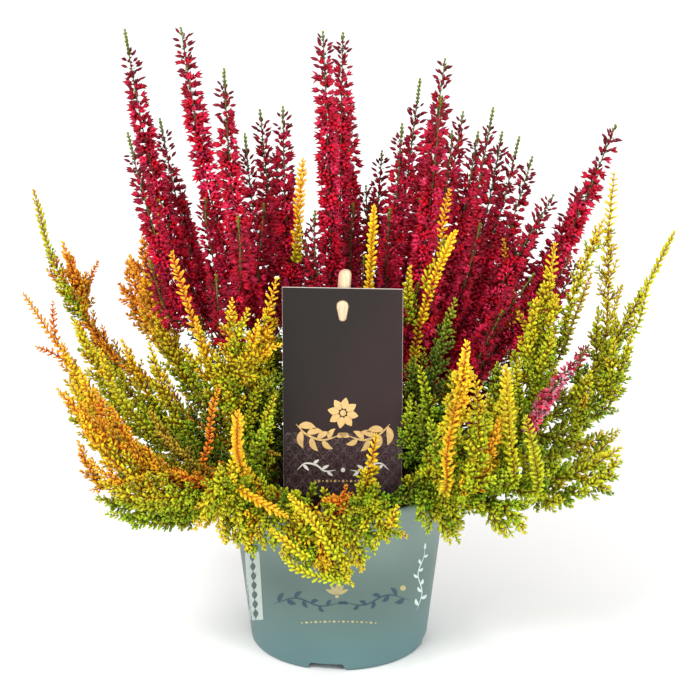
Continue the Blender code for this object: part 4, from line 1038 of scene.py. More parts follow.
# side shoots: (parent, palette, style, way points on the sketch from the fork to the tip)
FORKS = [
    ("gold_shoot_01", "apricot", "mid", [(82, 290, 36), (70, 264, 34), (63, 243, 33)]),
    ("gold_shoot_01", "ember", "fine", [(80, 300, 42), (78, 272, 42)]),
    ("gold_shoot_01", "ember", "thin", [(88, 285, 44), (98, 262, 46)]),
    ("gold_shoot_01", "lime", "fine", [(88, 326, 28), (70, 300, 31), (56, 272, 33)]),
    ("gold_shoot_01", "apricot", "full", [(84, 300, 38), (76, 282, 38), (68, 262, 38)]),
    ("gold_shoot_01", "lime", "mid", [(105, 368, 26), (88, 345, 28), (72, 318, 30)]),
    ("gold_shoot_01", "amber", "mid", [(125, 380, 28), (100, 345, 34), (86, 312, 36)]),
    ("gold_shoot_01", "olive", "thin", [(106, 350, 30), (103, 330, 30)]),
    ("gold_shoot_02", "ember", "thin", [(54, 332, 34), (53, 302, 34)]),
    ("gold_shoot_02", "ember", "thin", [(50, 352, 20), (37, 347, 14)]),
    ("gold_shoot_02", "honey", "mid", [(92, 405, -2), (72, 372, -2), (62, 343, 0)]),
    ("gold_shoot_02", "gold", "mid", [(110, 432, -16), (84, 398, -20), (68, 358, -22)]),
    ("gold_shoot_02", "lemon", "mid", [(120, 450, -26), (90, 420, -34), (72, 385, -38)]),
    ("gold_shoot_02", "lemon", "fine", [(100, 445, -40), (78, 415, -48), (66, 392, -50)]),
    ("gold_shoot_02", "gold", "mid", [(150, 465, -46), (112, 430, -52), (90, 396, -56), (80, 370, -58)]),
    ("gold_shoot_02", "ember", "mid", [(160, 470, -48), (128, 448, -56), (108, 418, -60), (96, 390, -62)]),
    ("gold_shoot_02", "lemon", "mid", [(175, 475, -52), (146, 462, -60), (118, 434, -62), (106, 412, -62)]),
    ("gold_shoot_02", "ember", "mid", [(190, 484, -60), (164, 474, -68), (142, 456, -70), (130, 436, -70)]),
    ("gold_shoot_03", "amber", "fine", [(104, 486, -84), (88, 466, -86), (78, 441, -88)]),
    ("gold_shoot_03", "lemon", "mid", [(140, 476, -76), (108, 456, -76), (88, 430, -72)]),
    ("gold_shoot_03", "amber", "mid", [(165, 474, -78), (140, 458, -72), (122, 430, -66), (112, 408, -62)]),
    ("gold_shoot_03", "gold", "mid", [(150, 482, -84), (118, 466, -86), (94, 440, -84), (80, 412, -82)]),
    ("gold_shoot_03", "honey", "mid", [(168, 490, -80), (136, 486, -86), (108, 476, -90), (90, 460, -90)]),
    ("gold_shoot_03", "lemon", "full", [(182, 496, -82), (158, 498, -88), (126, 494, -92), (102, 482, -92)]),
    ("gold_shoot_03", "lime", "full", [(190, 504, -78), (164, 508, -84), (136, 504, -88), (116, 496, -88)]),
    ("green_shoot_04", "fern", "sprig", [(150, 505, -66), (120, 506, -72), (98, 497, -74)]),
    ("green_shoot_04", "fern", "sprig", [(175, 510, -66), (140, 518, -76), (108, 514, -78)]),
    ("green_shoot_04", "fern", "sprig", [(190, 515, -64), (162, 522, -74), (132, 523, -76)]),
    ("green_shoot_04", "fern", "full", [(205, 505, -62), (185, 512, -74), (162, 514, -78)]),
    ("green_shoot_04", "lemon", "full", [(215, 495, -64), (200, 512, -76), (196, 528, -78)]),
    ("green_shoot_04", "fern", "full", [(212, 500, -64), (192, 510, -76), (176, 520, -80)]),
    ("gold_shoot_05", "lemon", "mid", [(170, 440, -12), (125, 410, -14), (95, 365, -16), (76, 322, -16)]),
    ("gold_shoot_05", "lemon", "mid", [(150, 435, -20), (122, 405, -26), (108, 375, -28), (100, 350, -28)]),
    ("gold_shoot_05", "gold", "fine", [(170, 430, -10), (150, 398, -10), (134, 366, -10), (122, 340, -10)]),
    ("gold_shoot_05", "olive", "mid", [(190, 460, -44), (166, 436, -52), (150, 412, -56)]),
    ("gold_shoot_05", "lime", "mid", [(190, 455, -26), (160, 436, -34), (130, 410, -38), (112, 384, -38)]),
    ("gold_shoot_05", "fern", "mid", [(190, 445, -10), (165, 420, -10), (146, 392, -8), (136, 372, -8)]),
    ("gold_shoot_05", "moss", "full", [(205, 440, -6), (188, 425, -8), (172, 410, -8)]),
    ("gold_shoot_05", "moss", "full", [(205, 460, -30), (186, 452, -38), (166, 440, -42)]),
    ("gold_shoot_05", "lemon", "mid", [(192, 440, -24), (168, 400, -30), (158, 372, -34), (150, 345, -36)]),
    ("gold_shoot_06", "apricot", "full", [(165, 335, 56), (148, 275, 60), (143, 235, 60)]),
    ("gold_shoot_06", "apricot", "mid", [(178, 345, 46), (165, 285, 46), (160, 240, 44), (158, 200, 42)]),
    ("gold_shoot_06", "apricot", "full", [(152, 330, 68), (138, 298, 72), (130, 258, 76)]),
    ("gold_shoot_06", "apricot", "full", [(155, 330, 66), (136, 308, 70), (121, 286, 78)]),
    ("gold_shoot_06", "honey", "full", [(190, 380, 30), (168, 345, 30), (150, 300, 30), (145, 275, 30)]),
    ("gold_shoot_06", "lemon", "full", [(205, 410, 10), (182, 375, 8), (166, 340, 6), (156, 318, 6)]),
    ("gold_shoot_07", "lemon", "full", [(215, 400, -28), (200, 372, -32), (186, 350, -34)]),
    ("gold_shoot_07", "ember", "thin", [(202, 468, -60), (208, 446, -64), (212, 412, -66), (219, 386, -66)]),
    ("gold_shoot_07", "olive", "fine", [(200, 470, -62), (180, 450, -64), (160, 434, -64)]),
    ("gold_shoot_07", "ember", "fine", [(226, 484, -66), (204, 482, -72), (184, 476, -74), (168, 470, -74)]),
    ("gold_shoot_07", "gold", "mid", [(222, 400, -34), (204, 350, -38), (196, 318, -38)]),
    ("gold_shoot_08", "lemon", "mid", [(232, 352, -52), (240, 330, -56), (248, 310, -58)]),
    ("gold_shoot_08", "gold", "mid", [(238, 372, -52), (250, 350, -56), (258, 322, -58)]),
    ("gold_shoot_08", "lemon", "full", [(232, 400, -46), (222, 375, -48), (216, 352, -50)]),
    ("gold_shoot_09", "gold", "mid", [(250, 368, -44), (262, 352, -50), (280, 345, -54)]),
    ("gold_shoot_09", "lime", "mid", [(258, 455, -42), (266, 422, -47), (275, 394, -50)]),
    ("gold_shoot_09", "lime", "mid", [(246, 440, -38), (252, 408, -42), (262, 380, -46)]),
    ("gold_shoot_09", "olive", "fine", [(245, 440, -40), (265, 450, -46), (279, 455, -47)]),
    ("gold_shoot_09", "moss", "full", [(244, 420, -30), (238, 396, -32), (240, 372, -32)]),
    ("gold_shoot_09", "moss", "full", [(258, 430, -34), (268, 404, -36), (274, 372, -38)]),
    ("gold_shoot_09", "moss", "full", [(262, 405, -18), (272, 370, -18), (278, 336, -16)]),
    ("gold_shoot_09", "deep", "full", [(262, 450, -20), (272, 430, -22), (280, 404, -22)]),
    ("gold_shoot_09", "fern", "mid", [(258, 505, -58), (264, 492, -62), (262, 476, -64)]),
    ("gold_shoot_09", "fern", "mid", [(248, 470, -50), (258, 440, -56), (272, 418, -60)]),
    ("gold_shoot_10", "lemon", "bold", [(222, 495, -80), (218, 520, -88), (224, 540, -90)]),
    ("gold_shoot_10", "lime", "bold", [(235, 500, -80), (240, 530, -86), (250, 550, -86)]),
    ("gold_shoot_10", "lemon", "full", [(218, 485, -86), (208, 500, -90), (204, 520, -90)]),
    ("gold_shoot_10", "honey", "rope", [(236, 484, -80), (256, 500, -90), (286, 516, -92)]),
    ("gold_shoot_10", "lemon", "full", [(232, 498, -74), (232, 478, -82), (236, 452, -84)]),
    ("gold_shoot_10", "lime", "full", [(226, 500, -76), (222, 484, -84), (220, 466, -86)]),
    ("gold_shoot_11", "lemon", "rope", [(338, 556, -90), (314, 524, -92), (290, 496, -90)]),
    ("gold_shoot_11", "lemon", "full", [(322, 540, -80), (306, 528, -84), (296, 512, -84)]),
    ("gold_shoot_11", "ember", "thin", [(336, 506, -66), (342, 498, -66), (346, 486, -66)]),
    ("gold_shoot_11", "ember", "full", [(344, 506, -72), (336, 500, -72), (324, 500, -72)]),
    ("gold_shoot_12", "lemon", "rope", [(306, 556, -90), (290, 545, -92), (272, 530, -92)]),
    ("gold_shoot_12", "lime", "rope", [(338, 580, -88), (306, 573, -90), (283, 558, -90)]),
    ("gold_shoot_12", "lime", "full", [(325, 560, -82), (345, 578, -84), (352, 584, -84)]),
    ("gold_shoot_13", "lemon", "bold", [(374, 500, -68), (362, 525, -80), (352, 548, -82)]),
    ("gold_shoot_13", "lime", "full", [(366, 505, -68), (352, 522, -76), (345, 540, -80)]),
    ("gold_shoot_14", "fern", "mid", [(412, 450, -48), (408, 425, -52), (410, 402, -54)]),
    ("gold_shoot_14", "moss", "mid", [(428, 405, -38), (440, 350, -40), (455, 300, -42)]),
    ("gold_shoot_14", "moss", "bold", [(428, 460, -44), (424, 432, -50), (416, 405, -52)]),
    ("gold_shoot_14", "moss", "full", [(438, 440, -26), (446, 405, -26), (450, 372, -26)]),
    ("gold_shoot_14", "moss", "full", [(418, 450, -26), (414, 415, -28), (412, 380, -28)]),
    ("gold_shoot_14", "moss", "full", [(428, 455, -22), (430, 420, -20), (428, 385, -18)]),
    ("gold_shoot_15", "lemon", "bold", [(470, 490, -82), (478, 445, -92), (478, 405, -96), (474, 376, -98)]),
    ("gold_shoot_15", "honey", "mid", [(466, 490, -80), (482, 465, -86), (494, 440, -88), (499, 418, -88)]),
    ("gold_shoot_15", "fern", "bold", [(445, 470, -70), (436, 448, -80), (430, 420, -84)]),
    ("gold_shoot_15", "honey", "comb", [(446, 490, -84), (447, 455, -98), (453, 420, -104), (458, 392, -106)]),
    ("gold_shoot_15", "lemon", "full", [(462, 500, -78), (466, 480, -88), (474, 458, -92)]),
    ("gold_shoot_16", "lemon", "mid", [(412, 318, -22), (408, 290, -24), (410, 268, -26)]),
    ("gold_shoot_16", "gold", "plain", [(425, 285, -26), (438, 262, -26), (452, 236, -26)]),
    ("gold_shoot_18", "lemon", "full", [(536, 370, -36), (548, 330, -40), (556, 296, -44)]),
    ("gold_shoot_18", "olive", "thin", [(556, 360, -34), (574, 320, -44), (591, 274, -50)]),
    ("gold_shoot_18", "lemon", "full", [(535, 380, -36), (530, 340, -42), (536, 300, -46)]),
    ("gold_shoot_18", "lime", "full", [(530, 400, -34), (542, 370, -44), (552, 335, -50)]),
    ("gold_shoot_18", "lime", "full", [(526, 425, -26), (540, 395, -28), (556, 365, -30)]),
    ("gold_shoot_18", "lime", "mid", [(520, 430, -30), (512, 395, -40), (520, 360, -46)]),
    ("gold_shoot_19", "lemon", "thin", [(604, 345, 18), (612, 315, 20), (622, 286, 22)]),
    ("gold_shoot_18", "lemon", "fine", [(558, 348, -34), (571, 303, -38), (584, 264, -40), (604, 219, -40)]),
    ("gold_shoot_19", "lime", "mid", [(600, 385, 4), (612, 345, 2), (616, 315, 2)]),
    ("gold_shoot_19", "lime", "mid", [(600, 375, 4), (596, 345, 2), (598, 312, 2)]),
    ("gold_shoot_19", "lime", "fine", [(585, 405, 4), (578, 378, -2), (582, 350, -6)]),
    ("gold_shoot_20", "lime", "mid", [(612, 385, -26), (624, 360, -28), (632, 335, -30)]),
    ("gold_shoot_20", "lime", "mid", [(600, 405, -24), (612, 372, -30), (614, 340, -34)]),
    ("gold_shoot_20", "lime", "wispy", [(600, 415, -20), (618, 385, -20), (630, 352, -20)]),
    ("gold_shoot_20", "lime", "thin", [(632, 335, -26), (642, 310, -30), (648, 282, -30)]),
    ("gold_shoot_20", "lime", "full", [(570, 440, -24), (580, 405, -30), (590, 372, -34)]),
    ("gold_shoot_21", "lemon", "comb", [(512, 484, -70), (510, 440, -84), (507, 400, -88), (506, 368, -88)]),
    ("gold_shoot_21", "lime", "full", [(506, 478, -64), (506, 440, -74), (508, 410, -76)]),
    ("gold_shoot_21", "fern", "full", [(506, 440, -30), (500, 400, -30), (497, 364, -30)]),
    ("gold_shoot_21", "honey", "bold", [(486, 476, -64), (492, 450, -74), (502, 420, -80)]),
    ("gold_shoot_21", "lime", "comb", [(534, 492, -64), (534, 455, -78), (526, 418, -82)]),
    ("gold_shoot_21", "lime", "full", [(528, 488, -54), (530, 460, -66), (530, 438, -68)]),
    ("gold_shoot_21", "lime", "full", [(500, 460, -48), (496, 425, -52), (488, 395, -54)]),
    ("gold_shoot_21", "moss", "full", [(505, 455, -36), (500, 420, -36), (492, 388, -34)]),
    ("gold_shoot_21", "fern", "full", [(515, 450, -40), (520, 415, -42), (518, 385, -42)]),
    ("green_shoot_22", "lime", "sprig", [(540, 442, 0), (572, 422, 4), (598, 401, 6)]),
    ("green_shoot_22", "lime", "sprig", [(545, 458, 0), (570, 441, 4), (598, 412, 8)]),
    ("green_shoot_22", "lime", "sprig", [(550, 474, 6), (584, 462, 10), (616, 436, 12)]),
    ("green_shoot_23", "lime", "sprig", [(555, 498, -36), (585, 488, -46), (606, 468, -50)]),
    ("green_shoot_23", "fern", "full", [(530, 480, -40), (545, 474, -50), (560, 462, -56)]),
    ("green_shoot_23", "lime", "full", [(592, 484, -42), (608, 474, -50), (618, 456, -52)]),
    ("green_shoot_23", "lime", "full", [(540, 495, -40), (550, 502, -50), (562, 500, -56)]),
    ("green_shoot_24", "fern", "full", [(488, 502, -74), (512, 506, -82), (534, 500, -84)]),
    ("green_shoot_24", "lime", "full", [(482, 500, -74), (496, 520, -84), (506, 536, -84)]),
    ("green_shoot_24", "lime", "full", [(500, 505, -80), (516, 518, -88), (524, 532, -88)]),
    ("green_shoot_24", "fern", "full", [(476, 490, -72), (492, 485, -84), (508, 470, -88)]),
    ("green_shoot_25", "lime", "full", [(432, 500, -60), (440, 520, -66), (450, 542, -66)]),
    ("green_shoot_25", "lime", "full", [(442, 500, -62), (454, 512, -68), (462, 528, -68)]),
    ("green_shoot_25", "fern", "full", [(425, 495, -62), (420, 508, -70), (424, 524, -72)]),
    ("gold_shoot_26", "lime", "mid", [(262, 395, 100), (240, 370, 116), (225, 350, 122)]),
    ("gold_shoot_27", "lime", "mid", [(425, 385, 104), (448, 362, 116), (465, 345, 122)]),
    ("red_spike_08", "honey", "rope", [(296, 260, 16), (298, 228, 8), (300, 195, 6), (303, 160, 5)]),
    ("red_spike_16", "honey", "thin", [(440, 262, -20), (442, 230, -24), (445, 210, -26), (449, 190, -28)]),
    ("red_spike_21", "honey", "thin", [(512, 320, 20), (513, 295, 22), (508, 268, 24), (503, 240, 24)]),
]

# short shoots that root just inside the rim and hang over it: (palette, style, way points from the rim to the tip)
FRINGE = [
    ("lime", "full", [(232, 508, -66), (226, 526, -74), (226, 542, -76)]),
    ("lemon", "full", [(240, 510, -68), (234, 526, -76), (238, 546, -78)]),
    ("fern", "full", [(246, 512, -72), (246, 530, -80), (254, 556, -80)]),
    ("gold", "full", [(256, 512, -72), (252, 528, -80), (246, 548, -80)]),
    ("lime", "full", [(264, 512, -74), (260, 530, -82), (264, 548, -82)]),
    ("fern", "full", [(276, 512, -76), (274, 532, -84), (274, 548, -84)]),
    ("lemon", "full", [(290, 512, -76), (288, 538, -84), (290, 564, -84)]),
    ("fern", "full", [(303, 512, -76), (304, 542, -84), (308, 573, -84)]),
    ("gold", "full", [(316, 512, -76), (320, 546, -84), (328, 578, -84)]),
    ("lemon", "full", [(330, 512, -76), (338, 546, -84), (348, 578, -84)]),
    ("lime", "full", [(345, 512, -76), (354, 538, -82), (363, 568, -82)]),
    ("fern", "full", [(358, 510, -74), (366, 530, -80), (374, 552, -80)]),
    ("lime", "full", [(372, 510, -74), (380, 524, -80), (388, 541, -80)]),
    ("fern", "full", [(386, 508, -72), (392, 518, -78), (400, 530, -78)]),
    ("lemon", "full", [(374, 512, -76), (382, 530, -84), (390, 526, -90), (397, 507, -93)]),
    ("lime", "full", [(440, 502, -56), (450, 516, -64), (458, 534, -64)]),
    ("fern", "full", [(456, 498, -40), (474, 504, -48), (484, 514, -50)]),
    ("lime", "full", [(462, 494, -26), (480, 498, -32), (496, 508, -34)]),
    ("lemon", "full", [(222, 504, -56), (212, 512, -64), (206, 526, -66)]),
    ("lime", "full", [(216, 500, -44), (202, 506, -52), (190, 518, -54)]),
]

# green growing tips of the flower spikes, in millimetres
TIPS = {
    1: 13.0, 2: 11.0, 3: 8.0, 4: 3.0, 5: 9.0, 6: 11.0, 7: 6.0, 8: 6.0, 9: 4.0, 10: 5.0, 11: 5.0, 12: 5.0, 13: 7.0,
    14: 14.0, 15: 3.0, 16: 5.0, 17: 5.0, 18: 5.0, 19: 11.0, 20: 8.0, 21: 11.0, 22: 6.0, 23: 3.0, 24: 4.0, 25: 3.0, 26: 6.0,
}

# more flower spikes on the same stems: (parent, colours, way points)
MORE_SPIKES = [
    ("red_spike_01", "crimson", [(168, 300, 40), (158, 262, 48), (150, 222, 52), (147, 200, 52)]),
    ("red_spike_02", "crimson", [(172, 320, 0), (158, 290, -2), (150, 262, -4)]),
    ("red_spike_03", "crimson", [(200, 310, 64), (194, 262, 74), (184, 215, 80), (180, 190, 82)]),
    ("red_spike_04", "crimson", [(222, 300, 18), (214, 262, 16), (206, 225, 14), (205, 200, 14)]),
    ("red_spike_05", "crimson", [(238, 320, -16), (240, 282, -22), (240, 245, -26), (238, 218, -26)]),
    ("red_spike_06", "crimson", [(262, 310, 32), (258, 272, 30), (262, 235, 28), (264, 205, 28)]),
    ("red_spike_08", "crimson", [(285, 270, 28), (280, 230, 32), (277, 190, 34), (277, 152, 34)]),
    ("red_spike_07", "crimson", [(290, 300, 62), (292, 262, 62), (290, 230, 62)]),
    ("red_spike_09", "crimson", [(322, 300, 2), (316, 265, -2), (314, 235, -4), (315, 212, -4)]),
    ("red_spike_10", "crimson", [(345, 300, 36), (350, 262, 34), (352, 225, 32), (353, 205, 32)]),
    ("red_spike_12", "crimson", [(370, 280, 62), (368, 245, 66), (367, 215, 68), (366, 187, 70)]),
    ("red_spike_13", "crimson", [(388, 300, 12), (386, 265, 8), (388, 235, 6), (390, 210, 6)]),
    ("red_spike_15", "crimson", [(412, 300, 30), (418, 260, 26), (420, 225, 22), (420, 200, 22)]),
    ("red_spike_16", "crimson", [(422, 330, -16), (432, 300, -22), (440, 268, -26), (444, 240, -28)]),
    ("red_spike_16", "crimson", [(440, 215, -4), (447, 180, 0), (451, 150, 2), (452, 132, 2)]),
    ("red_spike_17", "crimson", [(440, 300, 74), (456, 250, 80), (466, 215, 84), (470, 190, 84)]),
    ("red_spike_18", "crimson", [(452, 320, 4), (464, 285, -2), (474, 250, -6), (480, 225, -8)]),
    ("red_spike_19", "crimson", [(462, 320, 40), (482, 270, 42), (492, 235, 42), (498, 205, 42)]),
    ("red_spike_20", "crimson", [(470, 320, 72), (490, 285, 74), (506, 250, 74), (512, 228, 74)]),
    ("red_spike_21", "crimson", [(480, 340, 18), (500, 300, 14), (514, 265, 12), (520, 240, 12)]),
    ("red_spike_22", "crimson", [(486, 330, 54), (512, 285, 56), (530, 245, 58), (542, 215, 58)]),
    ("red_spike_23", "crimson", [(478, 345, -14), (500, 318, -18), (518, 296, -20), (533, 275, -20)]),
    ("red_spike_23", "crimson", [(470, 370, -20), (488, 340, -26), (502, 312, -30)]),
    ("red_spike_24", "crimson", [(505, 362, 14), (540, 325, 18), (562, 292, 22), (578, 262, 24)]),
    ("red_spike_25", "crimson", [(498, 360, 42), (536, 320, 46), (558, 280, 50), (570, 255, 52)]),
    ("red_spike_25", "crimson", [(530, 312, 58), (562, 262, 62), (572, 228, 64), (577, 196, 64)]),
    ("red_spike_26", "crimson", [(330, 320, 88), (334, 280, 96), (336, 250, 100)]),
    ("red_spike_26", "crimson", [(345, 300, 84), (354, 262, 88), (358, 236, 90)]),
    ("red_spike_26", "crimson", [(318, 310, 84), (310, 272, 90), (306, 244, 92)]),
    ("red_spike_12", "crimson", [(385, 300, 70), (394, 262, 72), (398, 236, 72)]),
    ("red_spike_08", "crimson", [(292, 320, 34), (294, 280, 36), (296, 248, 38)]),
    ("red_spike_05", "crimson", [(222, 340, -20), (218, 306, -26), (216, 276, -28)]),
    ("red_spike_23", "crimson", [(462, 402, -10), (476, 376, -16), (488, 352, -18)]),
    ("red_spike_23", "crimson", [(478, 410, -4), (496, 382, -8), (508, 352, -10)]),
    ("red_spike_08", "crimson", [(272, 345, 20), (276, 310, 22), (280, 280, 22)]),
    ("red_spike_09", "crimson", [(330, 330, 60), (328, 296, 64), (326, 262, 66)]),
    ("red_spike_12", "crimson", [(372, 330, 50), (378, 296, 52), (382, 262, 54)]),
    ("red_spike_21", "crimson", [(466, 395, 10), (480, 362, 6), (494, 332, 4)]),
    ("red_spike_10", "crimson", [(354, 325, 18), (362, 288, 14), (364, 258, 12)]),
    ("red_spike_13", "crimson", [(396, 330, 44), (402, 292, 46), (406, 264, 46)]),
    ("red_spike_16", "crimson", [(418, 345, -14), (414, 312, -18), (418, 284, -20)]),
]


def place_of(name):
    """A steady seed for a piece, from its name."""
    return sum((k + 3) * ord(c) for k, c in enumerate(name)) % 100003


def leaving(parent, marks):
    """A side shoot's line: it forks from its parent below the first mark and passes through all of them."""
    marks = [np.asarray(m, float) for m in marks]
    fine = through(parent, 90)
    far = np.linalg.norm(fine - marks[0], axis=1)
    k = int(np.argmin(far))
    step = np.linalg.norm(fine[1] - fine[0])
    j = max(k - int((5.0 + 0.9 * far[k]) / step), 6)
    if far[k] < 3.0:
        marks = marks[1:] if len(marks) > 2 else marks
    lead = fine[j] + (fine[j + 1] - fine[j - 1]) * 0.5 * (3.0 / step)
    return np.array([fine[j], lead, *marks])


ORDER = lay_out_shoots()


PALE_SPIKE = [(528, 428, -50), (546, 400, -56), (566, 372, -58), (588, 346, -58)]


# shoots that bend a little more than their simple solids: way points on the sketch
RETRACED = {
    "gold_shoot_01": [(110, 352, 26), (88, 322, 30), (68, 290, 33), (52, 258, 35), (42, 224, 36), (34, 191, 36)],
    "gold_shoot_19": [(594, 400, 6), (604, 350, 8), (608, 300, 10), (608, 245, 8), (611, 205, 6), (614, 174, 4)],
}


def retraced(line, marks):
    """The same shoot on its fuller course: its own foot, then the marks."""
    marks = np.array([from_sketch(*m) for m in marks])
    path = through(line, 80)
    near = int(np.argmin(np.linalg.norm(path - marks[0], axis=1)))
    return np.vstack([path[: max(near - 4, 8) : 8], marks])


def build_plants():
    lines = {name: np.asarray(points) for name, (points, _) in ORDER.items()}
    lines.update({name: retraced(lines[name], marks) for name, marks in RETRACED.items()})
    for name, line in lines.items():
        kind = name.split("_")[0]
        rng = np.random.default_rng(place_of(name))
        piece = Piece("heather_" + name)
        if kind == "red":
            number = int(name[-2:])
            low = 325 if number < 15 else (385 if number < 21 else 400)
            spike(piece, line, rng, FLOWERS["crimson"], green=TIPS[number], end=reach_down(line, low))
        else:
            colours, style = LEAFY[name]
            shoot(piece, line, rng, PALETTES[colours], **STYLES[style])
        for k, (parent, colours, marks) in enumerate(MORE_SPIKES):
            if parent == name:
                side = leaving(line, [from_sketch(*m) for m in marks])
                spike(piece, side, rng, FLOWERS[colours], green=rng.uniform(2, 7), wide=0.95, twigs=False)
        if name == "gold_shoot_18":
            side = leaving(line, [from_sketch(*m) for m in PALE_SPIKE])
            spike(piece, side, rng, FLOWERS["pale"], green=1.5, wide=0.68, gap=1.5, twigs=False, end=60.0, rings=4, dim=1.14)
        for parent, colours, style, marks in FORKS:
            if parent == name:
                side = leaving(line, [from_sketch(*m) for m in marks])
                shoot(piece, side, rng, PALETTES[colours], **{**STYLES[style], "stem": 0.55})
        piece.make([name], {"red": "crimson_flowers", "gold": "golden_leaves", "green": "green_leaves"}[kind])


def build_fringe():
    rng = np.random.default_rng(311)
    piece = Piece("heather_fringe")
    for colours, style, marks in FRINGE:
        marks = [from_sketch(*m) for m in marks]
        way = marks[0][:2] / np.linalg.norm(marks[0][:2])
        foot = np.array([*(way * 47.0), SOIL_TOP - 0.5])
        line = np.array([foot, [*(way * 51.0), SOIL_TOP + 12.0], [*(way * 60.0), POT_HEIGHT + 7.5], *marks])
        shoot(piece, line, rng, PALETTES[colours], **{**STYLES[style], "stem": 0.6, "bare": 0.46})
    count = 13
    for k in range(count):
        a = math.radians(-16 + 212 * (k + rng.uniform(0.2, 0.8)) / count)
        out = np.array([math.cos(a), math.sin(a), 0.0])
        side = np.array([-out[1], out[0], 0.0]) * rng.uniform(-1, 1)
        up = np.array([0.0, 0.0, 1.0])
        line = np.array([
            out * 47.0 + up * (SOIL_TOP - 0.5),
            out * 51.0 + up * (SOIL_TOP + 12.0),
            out * 59.0 + side * 3 + up * (POT_HEIGHT + 8.0),
            out * 67.0 + side * 9 + up * (POT_HEIGHT + rng.uniform(5, 13)),
            out * rng.uniform(72, 84) + side * 18 + up * (POT_HEIGHT + rng.uniform(-6, 18)),
        ])
        shade = PALETTES[("fern", "lime", "moss", "lime")[k % 4]]
        shoot(piece, line, rng, shade, **{**STYLES["full"], "stem": 0.6, "bare": 0.4})
    piece.make([], "green_leaves")


def reach_down(line, down):
    """How far from its tip a line reaches a level on the sketch."""
    fine = through(line, 120)
    step = np.linalg.norm(np.diff(fine, axis=0), axis=1)
    below = to_sketch(fine)[:, 1] > down
    last = int(np.max(np.nonzero(below)[0])) if below.any() else 0
    return float(step[last:].sum())



# ------------------------------------------------------------------ woody bases, with the short green shoots inside the plants


def build_crowns():
    golden = math.pi * (3 - math.sqrt(5))
    for plant, (px, py) in PLANTS.items():
        rng = np.random.default_rng(place_of(plant))
        piece = Piece("heather_crown_" + plant)
        # a knotted base, grown together from short thick stems
        for k in range(9):
            a = k * golden
            r = 4.6 * math.sqrt((k + 0.5) / 9)
            foot = np.array([px + 0.6 * r * math.cos(a), py + 0.6 * r * math.sin(a), SOIL_TOP - 2.0])
            top = np.array([px + 1.5 * r * math.cos(a), py + 1.5 * r * math.sin(a), SOIL_TOP + rng.uniform(7, 14)])
            line = through([foot, 0.5 * (foot + top) + rng.normal(0, 0.5, 3), top], 9)
            thick = rng.uniform(1.7, 2.6) * np.linspace(1.2, 0.4, 9) * rng.uniform(0.9, 1.1, 9)
            bark = srgb(96, 66, 46) * rng.uniform(0.7, 1.2, (9, 1))
            piece.tube(line, thick, bark, 9)
        made = 0
        for k in range(90):
            if made >= (13 if plant == "red" else 10):
                break
            a = k * golden + rng.normal(0, 0.2)
            lean = math.radians(8 + 64 * ((k * 0.618) % 1.0))
            long = rng.uniform(45, 105) * (1.0 if plant == "red" else 0.85)
            out = np.array([math.cos(a), math.sin(a), 0.0])
            foot = np.array([px, py, SOIL_TOP + 1.0]) + out * rng.uniform(1, 6)
            rise = foot + np.array([0, 0, 9.0]) + out * 3.0
            heading = np.array([0, 0, math.cos(lean)]) + out * math.sin(lean)
            tip = rise + heading * long
            bend = rise + (heading * 0.5 + np.array([0, 0, 0.1])) * long + rng.normal(0, 3, 3)
            line = np.array([foot, rise, bend, tip])
            if blocked(through(line, 40), 1.2).any():
                continue
            made += 1
            # The shoots inside the plant take the darkest greens and a random dimming: partly their own colour, partly
            # painted shade.
            shade = PALETTES["deep"] if rng.uniform() < 0.6 else PALETTES["fern"]
            shoot(piece, line, rng, shade, long=3.9, wide=1.6, gap=2.4, taper=7.0, side=14.0, clear=9.0, apart=6.6,
                  stem=0.7, bare=0.22, form="scale", twig="scale", reach=0.4, dim=rng.uniform(0.75, 1.05))
        piece.make(["woody_crown_" + plant], "bark")


# ------------------------------------------------------------------ meshes given by points and faces


def solid(name, points, faces, mats, smooth=None, indices=None):
    """A mesh object from points in millimetres; its normals point outward."""
    mesh = bpy.data.meshes.new(name)
    mesh.from_pydata([tuple(float(c) * MM for c in p) for p in points], [], [tuple(int(i) for i in f) for f in faces])
    for mat in mats:
        mesh.materials.append(mat)
    if indices is not None:
        mesh.polygons.foreach_set("material_index", np.asarray(indices, np.int32))
    bm = bmesh.new()
    bm.from_mesh(mesh)
    bmesh.ops.recalc_face_normals(bm, faces=bm.faces)
    bm.to_mesh(mesh)
    bm.free()
    mesh.validate()
    mesh.shade_smooth()
    if smooth is not None:
        mesh.set_sharp_from_angle(angle=math.radians(smooth))
    ob = bpy.data.objects.new(name, mesh)
    bpy.context.scene.collection.objects.link(ob)
    return ob


def lathe(profile, steps):
    """Points and faces of a closed profile of (radius, height) turned about the pot's axis."""
    points, faces = [], []
    n = len(profile)
    for s in range(steps):
        a = math.tau * s / steps
        points += [(r * math.cos(a), r * math.sin(a), z) for r, z in profile]
    for s in range(steps):
        t = (s + 1) % steps
        for k in range(n):
            m = (k + 1) % n
            faces.append((s * n + k, s * n + m, t * n + m, t * n + k))
    return points, faces


def cut_away(ob, cutters):
    """Takes the cutters' shapes out of a piece and removes them."""
    for c in cutters:
        mod = ob.modifiers.new(c.name, "BOOLEAN")
        mod.operation = "DIFFERENCE"
        mod.solver = "EXACT"
        mod.object = c
    graph = bpy.context.evaluated_depsgraph_get()
    mesh = bpy.data.meshes.new_from_object(ob.evaluated_get(graph))
    ob.modifiers.clear()
    ob.data = mesh
    for c in cutters:
        bpy.data.objects.remove(c, do_unlink=True)
    mesh.shade_smooth()
    mesh.set_sharp_from_angle(angle=math.radians(32))


# ------------------------------------------------------------------ pot


